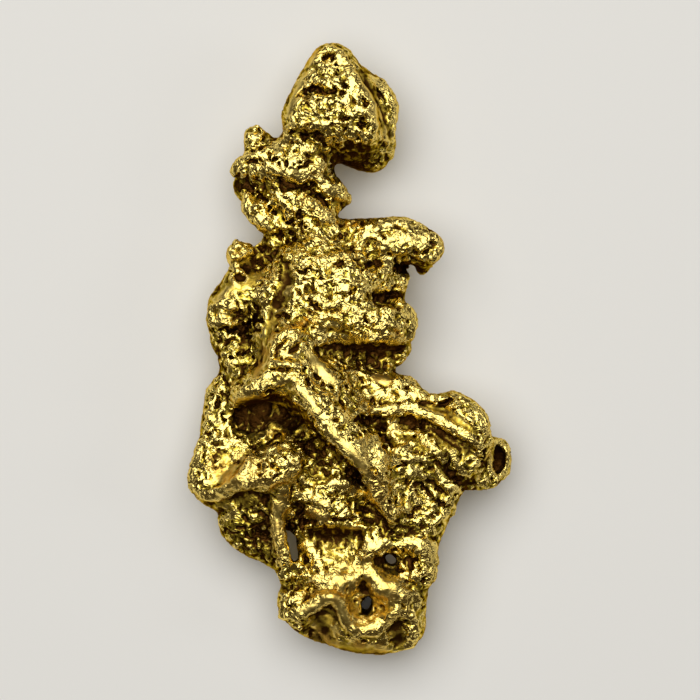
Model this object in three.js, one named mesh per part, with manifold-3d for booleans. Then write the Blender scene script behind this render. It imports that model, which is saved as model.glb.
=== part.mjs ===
// A native gold nugget, lying on its flatter back.
//
// Units are millimetres. +Z is up, away from the surface that it rests on, and +Y runs along the nugget
// towards its narrow crown. The origin is the middle of the footprint, at the height of that surface.
//
// The nugget is one lump of metal, so it is one mesh. It is modelled the way a lump is built up in clay:
// thick strands melt together, hollows are pressed in, and a few small holes are bored right through.
// Every strand and hollow is a chain of balls [x, y, z, radius], swept from one ball to the next.

import * as THREE from "three";
import { MarchingCubes } from "three/addons/objects/MarchingCubes.js";
import { mergeVertices } from "three/addons/utils/BufferGeometryUtils.js";
import Module from "manifold-3d";

const CELL = 0.51; // spacing of the grid that the surface is drawn through
const HALF_SIDE = 16.4; // half the side of the cube that holds the grid
const MID_HEIGHT = 3.4; // height of the cube's middle
const MELT = 0.45; // how far apart two strands start to melt together
const BACK_MELT = 0.9; // the same on the back, which rolled along with the gravel and is worn flatter
const PRESS = 0.3; // how softly the rim of a hollow rounds over
const SLIVER = 0.12; // least share of a cell that a surface point keeps from a grid corner
const MOST_TRIANGLES = 20000; // room in the grid's buffers

// ---- strands that build the lump up

const crown = [
  [[-1.0, 14.4, 3.6, 0.95], [-1.5, 12.9, 3.7, 1.3], [-2.1, 11.6, 3.85, 1.33], [-2.2, 11.2, 3.9, 1.15]],
  [[-0.6, 14.25, 3.8, 0.85], [0.0, 12.8, 4.1, 1.2], [0.3, 11.5, 4.15, 1.25], [0.5, 11.0, 4.1, 1.15]],
  [[-0.9, 12.6, 3.9, 1.4], [-0.9, 11.5, 3.9, 1.4], [0.1, 10.6, 3.0, 1.2]],
  [[-0.4, 13.6, 3.0, 0.9], [0.2, 12.4, 2.7, 1.2], [0.4, 11.2, 2.6, 1.2]],
  [[0.25, 13.75, 3.0, 0.6], [1.15, 13.0, 2.9, 0.75], [1.65, 12.1, 2.9, 0.8], [1.55, 11.5, 2.9, 0.75]],
  [[1.3, 11.0, 3.0, 0.85], [1.3, 10.2, 2.6, 0.9], [1.1, 9.8, 2.4, 0.95], [0.5, 9.9, 2.5, 0.9]],
];
const knob = [
  [[-4.78, 10.75, 3.2, 0.6], [-4.7, 10.1, 3.1, 0.6], [-4.2, 9.6, 3.0, 0.6]],
  [[-4.42, 10.5, 2.8, 0.5], [-4.2, 9.8, 2.8, 0.5]],
];
const neck = [
  [[-5.2, 8.95, 3.3, 0.66], [-4.3, 9.1, 3.5, 0.8], [-3.3, 9.3, 3.7, 0.95], [-2.1, 9.4, 3.6, 0.85]],
  [[-2.2, 9.4, 3.5, 0.8], [-1.8, 9.5, 3.3, 0.7]],
  [[-3.4, 9.9, 3.1, 0.55], [-2.5, 10.3, 3.2, 0.9], [-2.1, 11.0, 3.2, 1.1]],
  [[-1.7, 8.6, 3.4, 0.7], [-0.9, 8.0, 3.3, 0.7], [-0.35, 7.5, 3.1, 0.48]],
  [[-5.5, 8.05, 2.5, 0.48], [-4.6, 8.2, 2.6, 0.7]],
  [
    [-3.0, 8.7, 3.2, 1.0], [-3.2, 7.6, 3.3, 1.0], [-2.4, 6.8, 3.3, 1.0], [-1.8, 6.0, 3.2, 1.0],
    [-1.6, 5.0, 3.4, 1.2],
  ],
  [[-4.75, 7.35, 3.3, 0.6], [-4.3, 6.75, 3.4, 0.68], [-3.9, 6.2, 3.3, 0.55], [-3.2, 6.0, 3.2, 0.6]],
  [[-2.2, 7.4, 3.8, 0.7], [-1.4, 6.7, 3.7, 0.62]],
  [[-3.3, 5.6, 2.6, 0.75], [-2.4, 5.2, 2.9, 0.9]],
];
const arm = [
  [[-0.4, 5.5, 3.1, 0.98], [1.2, 5.6, 3.5, 1.0], [2.6, 5.55, 3.7, 1.03], [3.75, 5.1, 3.6, 0.98]],
  [[3.5, 4.6, 2.7, 0.6], [3.75, 4.05, 2.3, 0.42]],
  [[1.4, 4.4, 3.3, 1.0], [2.55, 3.6, 3.0, 0.52], [2.1, 3.1, 2.9, 0.7]],
];
const nub = [
  [[-5.6, 3.4, 3.3, 0.5], [-5.7, 4.2, 3.5, 0.42], [-5.75, 4.9, 3.5, 0.42]],
  [[-5.75, 4.9, 3.5, 0.38], [-5.55, 5.35, 3.5, 0.3]],
  [[-5.6, 4.7, 3.4, 0.35], [-5.05, 4.95, 3.4, 0.33]],
  [[-5.3, 4.0, 2.6, 0.6], [-4.6, 4.4, 2.6, 0.7], [-3.7, 4.8, 2.7, 0.9], [-3.4, 5.5, 2.6, 0.8]],
];
const leftShoulder = [
  [[-4.2, 3.4, 2.9, 0.9], [-5.4, 2.75, 3.1, 1.15], [-6.1, 2.1, 3.1, 1.08], [-6.25, 1.6, 3.0, 0.98]],
  [
    [-5.0, 1.3, 2.4, 1.0], [-6.35, 0.5, 2.5, 0.72], [-5.75, 0.1, 2.9, 0.98], [-5.5, -0.6, 3.0, 1.05],
    [-5.2, -1.3, 3.0, 0.95],
  ],
];
const middle = [
  [[-2.2, 3.9, 3.6, 1.6], [-0.4, 3.6, 3.8, 1.65], [0.7, 3.4, 3.5, 1.4]],
  [
    [-3.4, 2.6, 3.4, 1.5], [-1.6, 2.2, 3.7, 1.7], [0.2, 1.9, 3.9, 1.55], [1.6, 1.4, 3.8, 1.4],
    [2.2, 1.35, 3.6, 1.12],
  ],
  [
    [2.1, 0.2, 2.8, 1.0], [1.2, -0.2, 2.7, 1.0], [-0.2, -0.2, 3.0, 1.3], [-1.8, 0.2, 3.4, 1.5],
    [-3.4, 0.8, 3.5, 1.5],
  ],
];
const fold = [
  [
    [-3.0, 0.2, 4.8, 1.15], [-3.0, -0.7, 5.0, 1.0], [-2.2, -2.0, 5.4, 0.9], [-1.0, -3.4, 5.6, 0.85],
    [0.2, -4.8, 5.5, 0.75],
  ],
  [[0.2, -4.8, 5.5, 0.75], [1.1, -6.0, 5.2, 0.65], [1.6, -7.3, 4.8, 0.5], [2.2, -8.4, 4.4, 0.45]],
  [[-1.9, -0.4, 4.6, 0.5], [-1.1, -1.2, 4.9, 0.5], [-0.4, -1.9, 4.9, 0.5]],
  [[-3.6, -1.2, 4.9, 0.95], [-4.6, -1.8, 4.8, 0.8], [-5.5, -2.2, 4.4, 0.55]],
  [[0.2, -3.4, 4.6, 0.9], [0.9, -4.8, 4.7, 0.85], [1.6, -5.8, 4.4, 0.9]],
];
const heart = [
  [[-4.2, -1.8, 2.9, 1.6], [-5.0, -3.0, 2.6, 1.6], [-5.3, -4.6, 2.5, 1.75], [-5.3, -5.8, 2.5, 1.7]],
  [[-1.6, -1.4, 3.2, 1.9], [-1.4, -3.2, 3.2, 2.1], [-1.0, -5.4, 2.9, 2.0], [-0.9, -7.6, 2.8, 1.8]],
  [[0.9, -1.9, 3.0, 1.2], [2.0, -3.7, 2.9, 1.7], [2.5, -5.5, 3.0, 1.8], [2.6, -7.2, 2.9, 1.6]],
];
const leftWing = [
  [
    [-6.35, -2.1, 2.7, 0.85], [-6.65, -3.4, 2.8, 0.78], [-6.85, -5.0, 3.2, 0.8],
    [-7.15, -6.4, 3.3, 0.93], [-6.9, -6.95, 3.2, 0.93],
  ],
  [[-3.0, -5.4, 4.7, 0.8], [-4.0, -5.9, 4.8, 0.85], [-5.3, -6.5, 4.2, 0.8], [-6.6, -7.0, 3.5, 0.8]],
  [[-2.7, -4.5, 4.5, 0.38], [-3.0, -5.2, 4.6, 0.6]],
  [[-3.2, -6.6, 3.5, 1.2], [-4.6, -7.0, 3.3, 1.0], [-6.0, -7.6, 2.6, 0.7]],
  [[-4.5, -8.0, 2.4, 1.3], [-5.35, -8.65, 2.2, 1.3], [-4.7, -9.4, 2.2, 1.1], [-3.95, -10.2, 2.3, 0.68]],
  [
    [-3.3, -7.6, 4.1, 0.42], [-3.65, -9.0, 3.8, 0.4], [-3.35, -10.1, 3.6, 0.42],
    [-3.1, -11.1, 3.4, 0.45],
  ],
];
const rightWing = [
  [
    [2.2, -2.0, 3.3, 0.85], [3.6, -3.0, 3.6, 0.85], [5.1, -3.2, 3.8, 1.0], [5.8, -3.75, 3.8, 1.15],
    [5.95, -4.6, 3.6, 1.1], [5.6, -5.6, 3.3, 1.05],
  ],
  [[3.0, -1.8, 3.3, 0.42], [3.1, -2.5, 3.3, 0.5]],
  [[5.1, -2.5, 3.4, 0.45], [5.5, -3.0, 3.4, 0.6]],
  [[4.2, -5.0, 3.4, 1.4], [4.5, -6.1, 3.3, 1.15]],
  [
    [6.8, -4.8, 2.7, 0.45], [7.6, -4.95, 2.6, 0.45], [7.75, -5.6, 2.5, 0.38], [7.45, -6.2, 2.5, 0.4],
    [6.9, -6.55, 2.6, 0.55], [6.3, -6.5, 2.7, 0.6],
  ],
  [[6.5, -5.6, 2.6, 0.6], [7.2, -5.6, 2.2, 0.45]],
  [[3.6, -8.4, 2.9, 1.25], [4.05, -7.7, 3.0, 1.2], [4.6, -7.0, 3.1, 1.0]],
];
const toe = [
  [[-2.0, -8.4, 2.9, 1.1], [0.3, -8.8, 3.0, 1.3], [1.8, -8.8, 3.0, 1.3], [3.4, -9.0, 2.9, 1.05]],
  [[-2.05, -8.7, 2.8, 0.95], [-2.0, -9.6, 2.8, 0.7], [-2.0, -10.5, 2.9, 0.7]],
  [
    [-3.1, -11.1, 2.9, 0.55], [-1.6, -10.8, 3.0, 0.95], [-0.4, -11.2, 3.1, 1.0],
    [1.2, -11.4, 3.2, 0.95], [2.0, -11.8, 3.1, 0.9],
  ],
  [
    [-0.6, -9.9, 2.7, 1.0], [1.2, -10.0, 3.3, 0.85], [2.0, -9.9, 3.3, 0.7], [3.25, -9.9, 3.2, 1.05],
    [3.3, -11.0, 3.1, 1.08],
  ],
  [
    [-2.75, -12.5, 2.9, 0.95], [-2.25, -13.1, 2.7, 1.1], [-1.0, -13.6, 2.5, 1.2],
    [0.4, -13.95, 2.4, 1.25], [1.6, -14.1, 2.3, 1.22], [2.6, -13.8, 2.4, 1.2], [2.8, -12.4, 2.7, 1.05],
  ],
  [[-1.6, -12.4, 2.9, 0.9], [-0.4, -12.6, 2.9, 0.85]],
  [
    [-3.1, -13.1, 3.3, 0.38], [-2.0, -12.9, 3.8, 0.38], [-1.1, -12.3, 4.1, 0.4],
    [-0.7, -12.4, 4.1, 0.38], [-0.4, -13.2, 3.8, 0.38], [0.2, -14.0, 3.2, 0.42],
    [1.1, -13.8, 3.3, 0.4], [1.9, -13.3, 3.6, 0.4], [2.3, -12.8, 3.7, 0.4],
  ],
];
const back = [
  [[-1.5, 13.2, 2.1, 1.2], [-0.9, 11.9, 1.36, 1.55], [0.0, 10.9, 1.9, 1.2]],
  [
    [-1.6, 11.0, 2.1, 1.3], [-2.4, 9.3, 2.5, 1.15], [-2.9, 7.7, 2.3, 1.1], [-2.2, 6.4, 2.1, 1.2],
    [-1.6, 5.2, 2.0, 1.3],
  ],
  [
    [-5.4, 2.5, 2.4, 1.1], [-3.6, 3.1, 2.0, 1.3], [-1.7, 2.7, 1.7, 1.5], [0.2, 1.5, 1.6, 1.4],
    [1.3, 2.8, 2.2, 1.2],
  ],
  [[-1.7, 4.0, 1.9, 1.3], [0.2, 4.5, 2.4, 1.1], [1.6, 5.2, 2.9, 0.9]],
  [
    [-4.0, 1.4, 2.0, 1.3], [-4.5, -0.6, 2.2, 1.3], [-4.6, -2.2, 1.9, 1.4], [-5.3, -3.5, 1.8, 1.45],
    [-5.0, -5.1, 1.6, 1.65],
  ],
  [[-5.0, -5.1, 1.6, 1.65], [-5.7, -6.4, 2.0, 1.3], [-4.3, -7.9, 2.1, 1.1]],
  [
    [0.3, -0.2, 2.0, 1.3], [0.4, -1.8, 2.2, 1.4], [-1.2, -3.2, 2.1, 1.7], [-1.9, -5.0, 1.8, 1.5],
    [-0.5, -6.7, 1.9, 1.6],
  ],
  [[-0.5, -6.7, 1.9, 1.6], [-1.0, -8.5, 1.9, 1.2], [0.3, -10.5, 1.8, 1.2], [0.5, -12.6, 1.4, 1.5]],
  [
    [5.4, -3.6, 2.5, 1.2], [4.6, -4.8, 1.8, 1.5], [3.3, -5.9, 1.45, 1.65], [2.8, -7.6, 1.9, 1.4],
    [2.9, -9.6, 2.3, 1.1],
  ],
  [[-1.4, -13.0, 1.9, 1.2], [0.5, -12.6, 1.4, 1.5], [2.1, -12.5, 1.8, 1.2], [2.5, -10.9, 2.1, 1.1]],
];

// ---- hollows pressed into it

const hollows = [
  // on the front: under the crown
  [[-1.1, 9.9, 5.2, 0.5], [0.1, 9.5, 4.8, 0.85], [1.3, 9.3, 4.5, 0.85]],
  // behind the nub
  [[-4.6, 4.5, 4.2, 0.6], [-3.9, 4.9, 4.0, 0.5]],
  // crevice under the left shoulder
  [[-7.1, 0.95, 3.6, 0.2], [-6.0, 0.95, 3.9, 0.3], [-5.2, 1.1, 4.2, 0.25]],
  // between arm and bulge
  [[1.5, 2.7, 4.9, 0.5], [2.6, 2.9, 4.1, 0.4]],
  // under the bulge
  [[-1.2, -0.2, 5.2, 0.5], [0.2, -0.4, 5.1, 0.8], [1.4, -0.4, 4.7, 0.85], [2.5, -0.5, 4.5, 0.8]],
  // the great hollow of the left wing
  [[-6.0, -3.8, 4.8, 1.0], [-4.6, -3.8, 4.8, 1.3], [-3.3, -3.7, 4.9, 1.0]],
  // beside the fold
  [[-1.9, -4.7, 5.2, 0.8], [-0.8, -5.5, 5.2, 0.8], [0.2, -6.3, 5.2, 0.55]],
  // under the right shoulder
  [[1.7, -3.9, 5.2, 0.85], [2.9, -4.0, 5.0, 0.8]],
  // two prints on the toe
  [[-1.2, -13.8, 4.2, 0.85], [-0.9, -14.5, 3.9, 0.6]],
  [[1.9, -14.4, 4.0, 0.55], [2.7, -14.1, 4.2, 0.7]],
  // dish round the upper hole
  [[1.6, -10.5, 4.5, 0.6], [2.9, -10.5, 4.6, 0.75]],
  // step above the toe
  [[-1.4, -9.6, 4.5, 0.8], [0.0, -9.6, 4.6, 0.8]],
  // on the back
  [[-4.2, 5.0, 1.4, 0.8], [-3.2, 4.6, 0.7, 0.7], [-2.5, 4.9, 0.5, 0.5]],
  [[1.5, -0.7, 0.2, 0.8], [2.1, -2.2, 0.6, 0.9]],
  [[-2.9, -0.4, 0.2, 0.9], [-2.6, -1.9, 0.1, 0.7]],
  [[-3.3, -3.6, 0.1, 0.6], [-3.5, -5.4, 0.1, 0.7], [-2.6, -7.2, 0.2, 0.8], [-3.0, -8.8, 0.8, 0.7]],
  [[1.1, -3.9, 0.1, 0.9], [1.2, -5.6, 0.0, 0.7], [1.3, -8.4, 0.2, 0.7]],
  [[0.2, 6.4, 1.2, 0.6], [1.0, 3.9, 0.6, 0.5]],
  [[-2.3, -11.6, 0.9, 0.8], [-1.2, -10.9, 0.7, 0.6]],
];

// ---- holes right through it: [x, y, half width, half length, turn in radians]

const holes = [
  [-2.8, -9.9, 0.22, 0.7, 0.1],
  [2.0, -10.5, 0.24, 0.28, 0.5],
  [0.83, -12.75, 0.27, 0.48, -0.15],
];

// Distance from a point to the swept surface between two balls, negative inside.
function sweepDistance(x, y, z, [ax, ay, az, ar], [bx, by, bz, br]) {
  const dx = bx - ax;
  const dy = by - ay;
  const dz = bz - az;
  const along = ((x - ax) * dx + (y - ay) * dy + (z - az) * dz) / (dx * dx + dy * dy + dz * dz);
  const t = THREE.MathUtils.clamp(along, 0, 1);
  return Math.hypot(x - ax - t * dx, y - ay - t * dy, z - az - t * dz) - (ar + t * (br - ar));
}

// The smaller of two distances, rounded over where they are within `reach` of each other.
function softMin(a, b, reach) {
  const h = Math.max(reach - Math.abs(a - b), 0) / reach;
  return Math.min(a, b) - (h * h * reach) / 4;
}

// The grid of distances, and the work of stamping chains of balls into it.
class Clay {
  constructor() {
    const size = Math.round((2 * HALF_SIDE) / CELL);
    this.grid = new MarchingCubes(size, new THREE.MeshStandardMaterial(), false, false, MOST_TRIANGLES);
    this.grid.isolation = 0;
    this.distance = new Float32Array(size ** 3).fill(HALF_SIDE);
    this.size = size;
    this.step = (2 * HALF_SIDE) / size;
    this.corner = new THREE.Vector3(-HALF_SIDE, -HALF_SIDE, MID_HEIGHT - HALF_SIDE);
  }

  // Calls change(index, x, y, z) for each grid point near the segment from ball a to ball b.
  near(a, b, margin, change) {
    const range = [0, 1, 2].map((axis) => {
      const low = Math.min(a[axis] - a[3], b[axis] - b[3]) - margin;
      const high = Math.max(a[axis] + a[3], b[axis] + b[3]) + margin;
      const start = this.corner.getComponent(axis);
      return [
        Math.max(0, Math.floor((low - start) / this.step)),
        Math.min(this.size - 1, Math.ceil((high - start) / this.step)),
      ];
    });
    for (let k = range[2][0]; k <= range[2][1]; k++)
      for (let j = range[1][0]; j <= range[1][1]; j++)
        for (let i = range[0][0]; i <= range[0][1]; i++)
          change(
            i + this.size * (j + this.size * k),
            this.corner.x + i * this.step,
            this.corner.y + j * this.step,
            this.corner.z + k * this.step,
          );
  }

  // Each chain is swept from ball to ball, then blended into the clay by blend(old distance, new distance).
  stamp(chains, margin, blend) {
    for (const chain of chains) {
      const swept = new Map();
      for (let n = 0; n + 1 < chain.length; n++)
        this.near(chain[n], chain[n + 1], margin, (index, x, y, z) => {
          const d = sweepDistance(x, y, z, chain[n], chain[n + 1]);
          swept.set(index, Math.min(d, swept.get(index) ?? Infinity));
        });
      for (const [index, d] of swept) this.distance[index] = blend(this.distance[index], d);
    }
  }

  add(chains, melt = MELT) {
    this.stamp(chains, 2 * CELL + melt, (old, d) => softMin(old, d, melt));
  }

  press(chains) {
    this.stamp(chains, 2 * CELL + PRESS, (old, d) => -softMin(-old, d, PRESS));
  }

  // The closed surface as a geometry with shared vertices, in millimetres.
  geometry() {
    const least = SLIVER * this.step;
    this.distance.forEach((d, i) => {
      this.grid.field[i] = Math.abs(d) < least ? -Math.sign(d || 1) * least : -d;
    });
    this.grid.update();
    const drawn = this.grid.geometry.getAttribute("position").array.slice(0, this.grid.count * 3);
    const surface = new THREE.BufferGeometry()
      .setAttribute("position", new THREE.BufferAttribute(drawn, 3))
      .scale(HALF_SIDE, HALF_SIDE, HALF_SIDE)
      .translate(0, 0, MID_HEIGHT);
    return mergeVertices(surface, 1e-3);
  }
}

const wasm = await Module();
wasm.setup();

// A closed geometry as a solid that can be joined and cut.
function solidOf(geometry) {
  const bare = geometry.clone();
  bare.deleteAttribute("normal");
  bare.deleteAttribute("uv");
  const merged = mergeVertices(bare, 1e-4);
  return new wasm.Manifold(
    new wasm.Mesh({
      numProp: 3,
      vertProperties: new Float32Array(merged.getAttribute("position").array),
      triVerts: new Uint32Array(merged.index.array),
    }),
  );
}

function geometryOf(solid) {
  const { vertProperties, triVerts } = solid.getMesh();
  const geometry = new THREE.BufferGeometry()
    .setAttribute("position", new THREE.BufferAttribute(vertProperties, 3))
    .setIndex(new THREE.BufferAttribute(triVerts, 1));
  geometry.computeVertexNormals();
  return geometry;
}

// An oval rod that stands on end and reaches right through the nugget.
function borer([x, y, halfWidth, halfLength, turn]) {
  const oval = new THREE.Shape().absellipse(0, 0, halfWidth, halfLength, 0, 2 * Math.PI);
  return new THREE.ExtrudeGeometry(oval, { depth: 10, bevelEnabled: false, curveSegments: 10 })
    .rotateZ(turn)
    .translate(x, y, -1);
}

// Everything below the surface that the nugget rests on. Cutting it off leaves the flats worn on its feet.
function ground() {
  return new THREE.BoxGeometry(40, 40, 4).translate(0, 0, -2);
}

function buildNugget() {
  const clay = new Clay();
  const head = [crown, knob, neck, arm, nub];
  const trunk = [leftShoulder, middle, fold, heart, leftWing, rightWing, toe];
  for (const part of [...head, ...trunk]) clay.add(part);
  clay.add(back, BACK_MELT);
  clay.press(hollows);
  let lump = solidOf(clay.geometry());
  for (const hole of holes) lump = lump.subtract(solidOf(borer(hole)));
  return geometryOf(lump.subtract(solidOf(ground())));
}

const gold = new THREE.MeshStandardMaterial({ color: 0xd9a92c, metalness: 1, roughness: 0.3 });
const nugget = new THREE.Mesh(buildNugget(), gold);
nugget.name = "gold_nugget";

const group = new THREE.Group();
group.add(nugget);

export default group;
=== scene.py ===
# %% [markdown]
# # A gold nugget
#
# A nugget is one lump of native metal. It grew as a crust of tiny crystals in a crack in the rock, and a
# stream then rolled it until its high spots were worn smooth. So it is built here in the same order: a lump,
# the folds and hollows of the lump, the crystalline skin, the wear, and last the metal and its stains.
#
# The lump comes from the CAD model. It is rough, with faces half a millimetre across, and it fixes the size.

# %% Load the CAD model
import math

import bpy
import numpy as np
import openvdb as vdb
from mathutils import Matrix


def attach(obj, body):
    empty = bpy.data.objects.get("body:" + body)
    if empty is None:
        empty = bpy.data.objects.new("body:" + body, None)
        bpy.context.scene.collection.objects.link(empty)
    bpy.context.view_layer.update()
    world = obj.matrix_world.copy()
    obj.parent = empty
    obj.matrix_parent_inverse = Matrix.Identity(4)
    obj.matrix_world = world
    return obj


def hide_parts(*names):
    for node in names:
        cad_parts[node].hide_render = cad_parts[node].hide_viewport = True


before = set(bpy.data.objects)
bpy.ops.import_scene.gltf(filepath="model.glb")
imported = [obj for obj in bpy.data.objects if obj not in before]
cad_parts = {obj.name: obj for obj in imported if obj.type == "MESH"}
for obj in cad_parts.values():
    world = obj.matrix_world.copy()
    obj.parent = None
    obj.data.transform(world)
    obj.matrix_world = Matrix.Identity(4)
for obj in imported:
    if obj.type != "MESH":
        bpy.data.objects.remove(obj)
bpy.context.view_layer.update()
MM = 0.001  # the scene is in metres, and a nugget is easier to think of in millimetres

# %% [markdown]
# ## Camera
#
# The nugget lies on its back, so the camera looks straight down on it, with the crown at the top of the
# picture. A long lens from far away keeps the proportions true. The camera comes first, so that every later
# step can be judged through it.

# %% Camera
VIEW_SIDE = 35 * MM  # the width of the square that the picture takes in
VIEW_HEIGHT = 3 * MM  # measured at this height above the floor, about half way up the nugget
LENS = 200
SENSOR = 36

camera = bpy.data.objects.new("camera", bpy.data.cameras.new("camera"))
camera.data.lens = LENS
camera.data.sensor_width = SENSOR
camera.data.clip_start = 1 * MM
camera.data.clip_end = 10  # in metres, so well past the floor
distance = VIEW_SIDE * LENS / SENSOR
camera.location = (0, 0, VIEW_HEIGHT + distance)
bpy.context.scene.collection.objects.link(camera)
bpy.context.scene.camera = camera
print("camera distance in mm:", round(distance / MM, 1))

# %% [markdown]
# ## The clay
#
# A sculptor would carve this with brushes. A script can do the same with a *signed distance grid*: a block of
# small cells, each of which holds the distance to the surface, negative inside the metal. Joining a strand is
# taking the smaller of two distances, and carving a groove is taking the larger of one and minus the other.
# Unlike vertex moves, this never tears or folds the skin, however deep a pit is undercut.

# %% Turn the CAD lump into a grid of distances
CELL = 0.065  # mm; fine enough for wrinkles a quarter of a millimetre apart
BAND = 10  # cells of true distance that are kept on each side of the surface
MARGIN = 0.7  # mm of empty space round the lump

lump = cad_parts["gold_nugget"].data
points = np.empty(len(lump.vertices) * 3, np.float32)
lump.vertices.foreach_get("co", points)
points = points.reshape(-1, 3) / MM
lump.calc_loop_triangles()
corners = np.empty(len(lump.loop_triangles) * 3, np.int32)
lump.loop_triangles.foreach_get("vertices", corners)

first_cell = np.floor((points.min(0) - MARGIN) / CELL).astype(int)
last_cell = np.ceil((points.max(0) + MARGIN) / CELL).astype(int)
grid_shape = tuple(last_cell - first_cell + 1)
spacing = vdb.createLinearTransform(voxelSize=CELL)
level_set = vdb.FloatGrid.createLevelSetFromPolygons(
    points, triangles=corners.reshape(-1, 3).astype(np.uint32), transform=spacing, halfWidth=BAND
)
clay = np.empty(grid_shape, np.float32)
level_set.copyToArray(clay, ijk=tuple(int(i) for i in first_cell))
print("grid:", grid_shape, "cells of", CELL, "mm")


# %% [markdown]
# The CAD faces are half a millimetre across and would show as flats. Blurring the distances a little rounds
# them away. A blur along one axis after another is quick, and two in a row come close to a smooth bell curve.

# %% Blur, and round off the CAD faces
def blurred(field, radius):
    """The field averaged over about `radius` millimetres in each direction."""
    reach = max(1, round(radius / CELL))
    for axis in range(3):
        for _ in range(2):
            pad = [(0, 0)] * 3
            pad[axis] = (reach + 1, reach)
            total = np.cumsum(np.pad(field, pad, mode="edge"), axis=axis, dtype=np.float32)
            width = 2 * reach + 1
            ahead = [slice(None)] * 3
            behind = [slice(None)] * 3
            ahead[axis] = slice(width, None)
            behind[axis] = slice(None, -width)
            field = (total[tuple(ahead)] - total[tuple(behind)]) / width
    return field


FACE_BLUR = 0.16  # mm
clay = blurred(clay, FACE_BLUR)
print("metal in the lump:", round(float((clay < 0).sum()) * CELL**3), "cubic mm")


# %% [markdown]
# ## Strokes
#
# A stroke is a path across the lump, given in plan: x, y and how thick it is there. It is laid on whatever
# surface is below it, like a pencil line on a relief map. A ridge stroke adds a rounded cord that melts into
# the lump. A groove stroke takes the same shape away.

# %% Where the surface is
def heights(field, side):
    """For each column of cells, the height of the surface seen from above (side 1) or below (side -1)."""
    solid = field < 0
    if side > 0:
        solid = solid[:, :, ::-1]
    steps = np.argmax(solid, axis=2)
    if side > 0:
        steps = field.shape[2] - 1 - steps
    return np.where(solid.any(axis=2), (first_cell[2] + steps) * CELL, np.nan)


relief = {side: heights(clay, side) for side in (1, -1)}
print("front between", np.nanmin(relief[1]).round(2), "and", np.nanmax(relief[1]).round(2), "mm high")


def height_at(x, y, side):
    """The middle height of the nine columns round a place in plan, or None beside the lump."""
    i = int(round(x / CELL)) - first_cell[0]
    j = int(round(y / CELL)) - first_cell[1]
    around = relief[side][max(0, i - 1) : i + 2, max(0, j - 1) : j + 2]
    return float(np.nanmedian(around)) if np.isfinite(around).any() else None


# %% [markdown]
# A stroke is written down as a list of places with a radius each. Most are a line or a single dot. Curls are
# arcs, and fine parallel wrinkles are a rake, which only needs its first and last stroke.

# %% Write a stroke down
END_THICKNESS = 0.6  # of the stroke's own


def line(radius, *points):
    """A stroke of one thickness through the points, thinner at both ends."""
    ends = (0, len(points) - 1)
    return [(x, y, radius * (END_THICKNESS if n in ends else 1)) for n, (x, y) in enumerate(points)]


def dot(x, y, radius):
    """A stroke of one place only."""
    return [(x, y, radius)]


DEGREES_A_STEP = 35


def arc(radius, x, y, size, first, last):
    """A curl of that size round x, y, that turns from the first angle to the last, in degrees."""
    corners = 2 + int(abs(last - first) / DEGREES_A_STEP)
    turns = np.radians(np.linspace(first, last, corners))
    return line(radius, *[(x + size * math.cos(t), y + size * math.sin(t)) for t in turns])


stroke_rng = np.random.default_rng(12)


def rake(radius, first, last, count, shake=0.04):
    """Strokes side by side that change from the first path to the last, none of them quite straight."""
    first, last = np.array(first), np.array(last)
    made = []
    for share in np.linspace(0, 1, count):
        path = first + (last - first) * share + stroke_rng.normal(0, shake, first.shape)
        made.append(line(radius, *path))
    return made


# %% [markdown]
# To lay a stroke down, it is turned into a chain of balls at the height of the surface. They are sunk a
# little, or raised a little for a scoop, which only has to leave a dent. The chain is then melted into the
# clay, or out of it. Where the front has been drawn on is noted down in plan, since ridges wear and are later
# painted lighter as a highlight, and the grooves at their feet hold dirt and are painted darker as shade.

# %% Lay a stroke on the surface
BALL_STEP = 0.12  # mm from one ball to the next


def eased(values):
    """Each value moved half way to the mean of its neighbours."""
    return np.convolve(np.pad(values, 1, mode="edge"), [0.25, 0.5, 0.25], mode="valid")


def draped(path, sink, side, shake):
    """Balls along the path, with their centres `sink` radii below the surface seen from that side."""
    path = np.asarray(path, float)
    steps = np.hypot(*np.diff(path[:, :2], axis=0).T)
    run = np.concatenate([[0], np.cumsum(steps)])
    at = np.linspace(0, run[-1], max(2, math.ceil(run[-1] / BALL_STEP) + 1))
    x, y, r = [np.interp(at, run, path[:, n]) for n in range(3)]
    for _ in range(3):  # rounds the corners off
        x[1:-1], y[1:-1] = eased(x)[1:-1], eased(y)[1:-1]
    x, y = x + stroke_rng.normal(0, shake, len(x)), y + stroke_rng.normal(0, shake, len(x))
    r = r * stroke_rng.uniform(1 - 5 * shake, 1 + 5 * shake, len(r))
    balls = [(a, b, height_at(a, b, side), c) for a, b, c in zip(x, y, r)]
    balls = np.array([b for b in balls if b[2] is not None])
    if len(balls) == 0:
        return None
    for _ in range(2):  # the path may not jump up and down with every pit that it crosses
        balls[:, 2] = eased(balls[:, 2])
    balls[:, 2] -= side * sink * balls[:, 3]
    return balls if len(balls) > 1 else np.repeat(balls, 2, axis=0)


FAR = 9  # mm; more than any distance that matters


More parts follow.
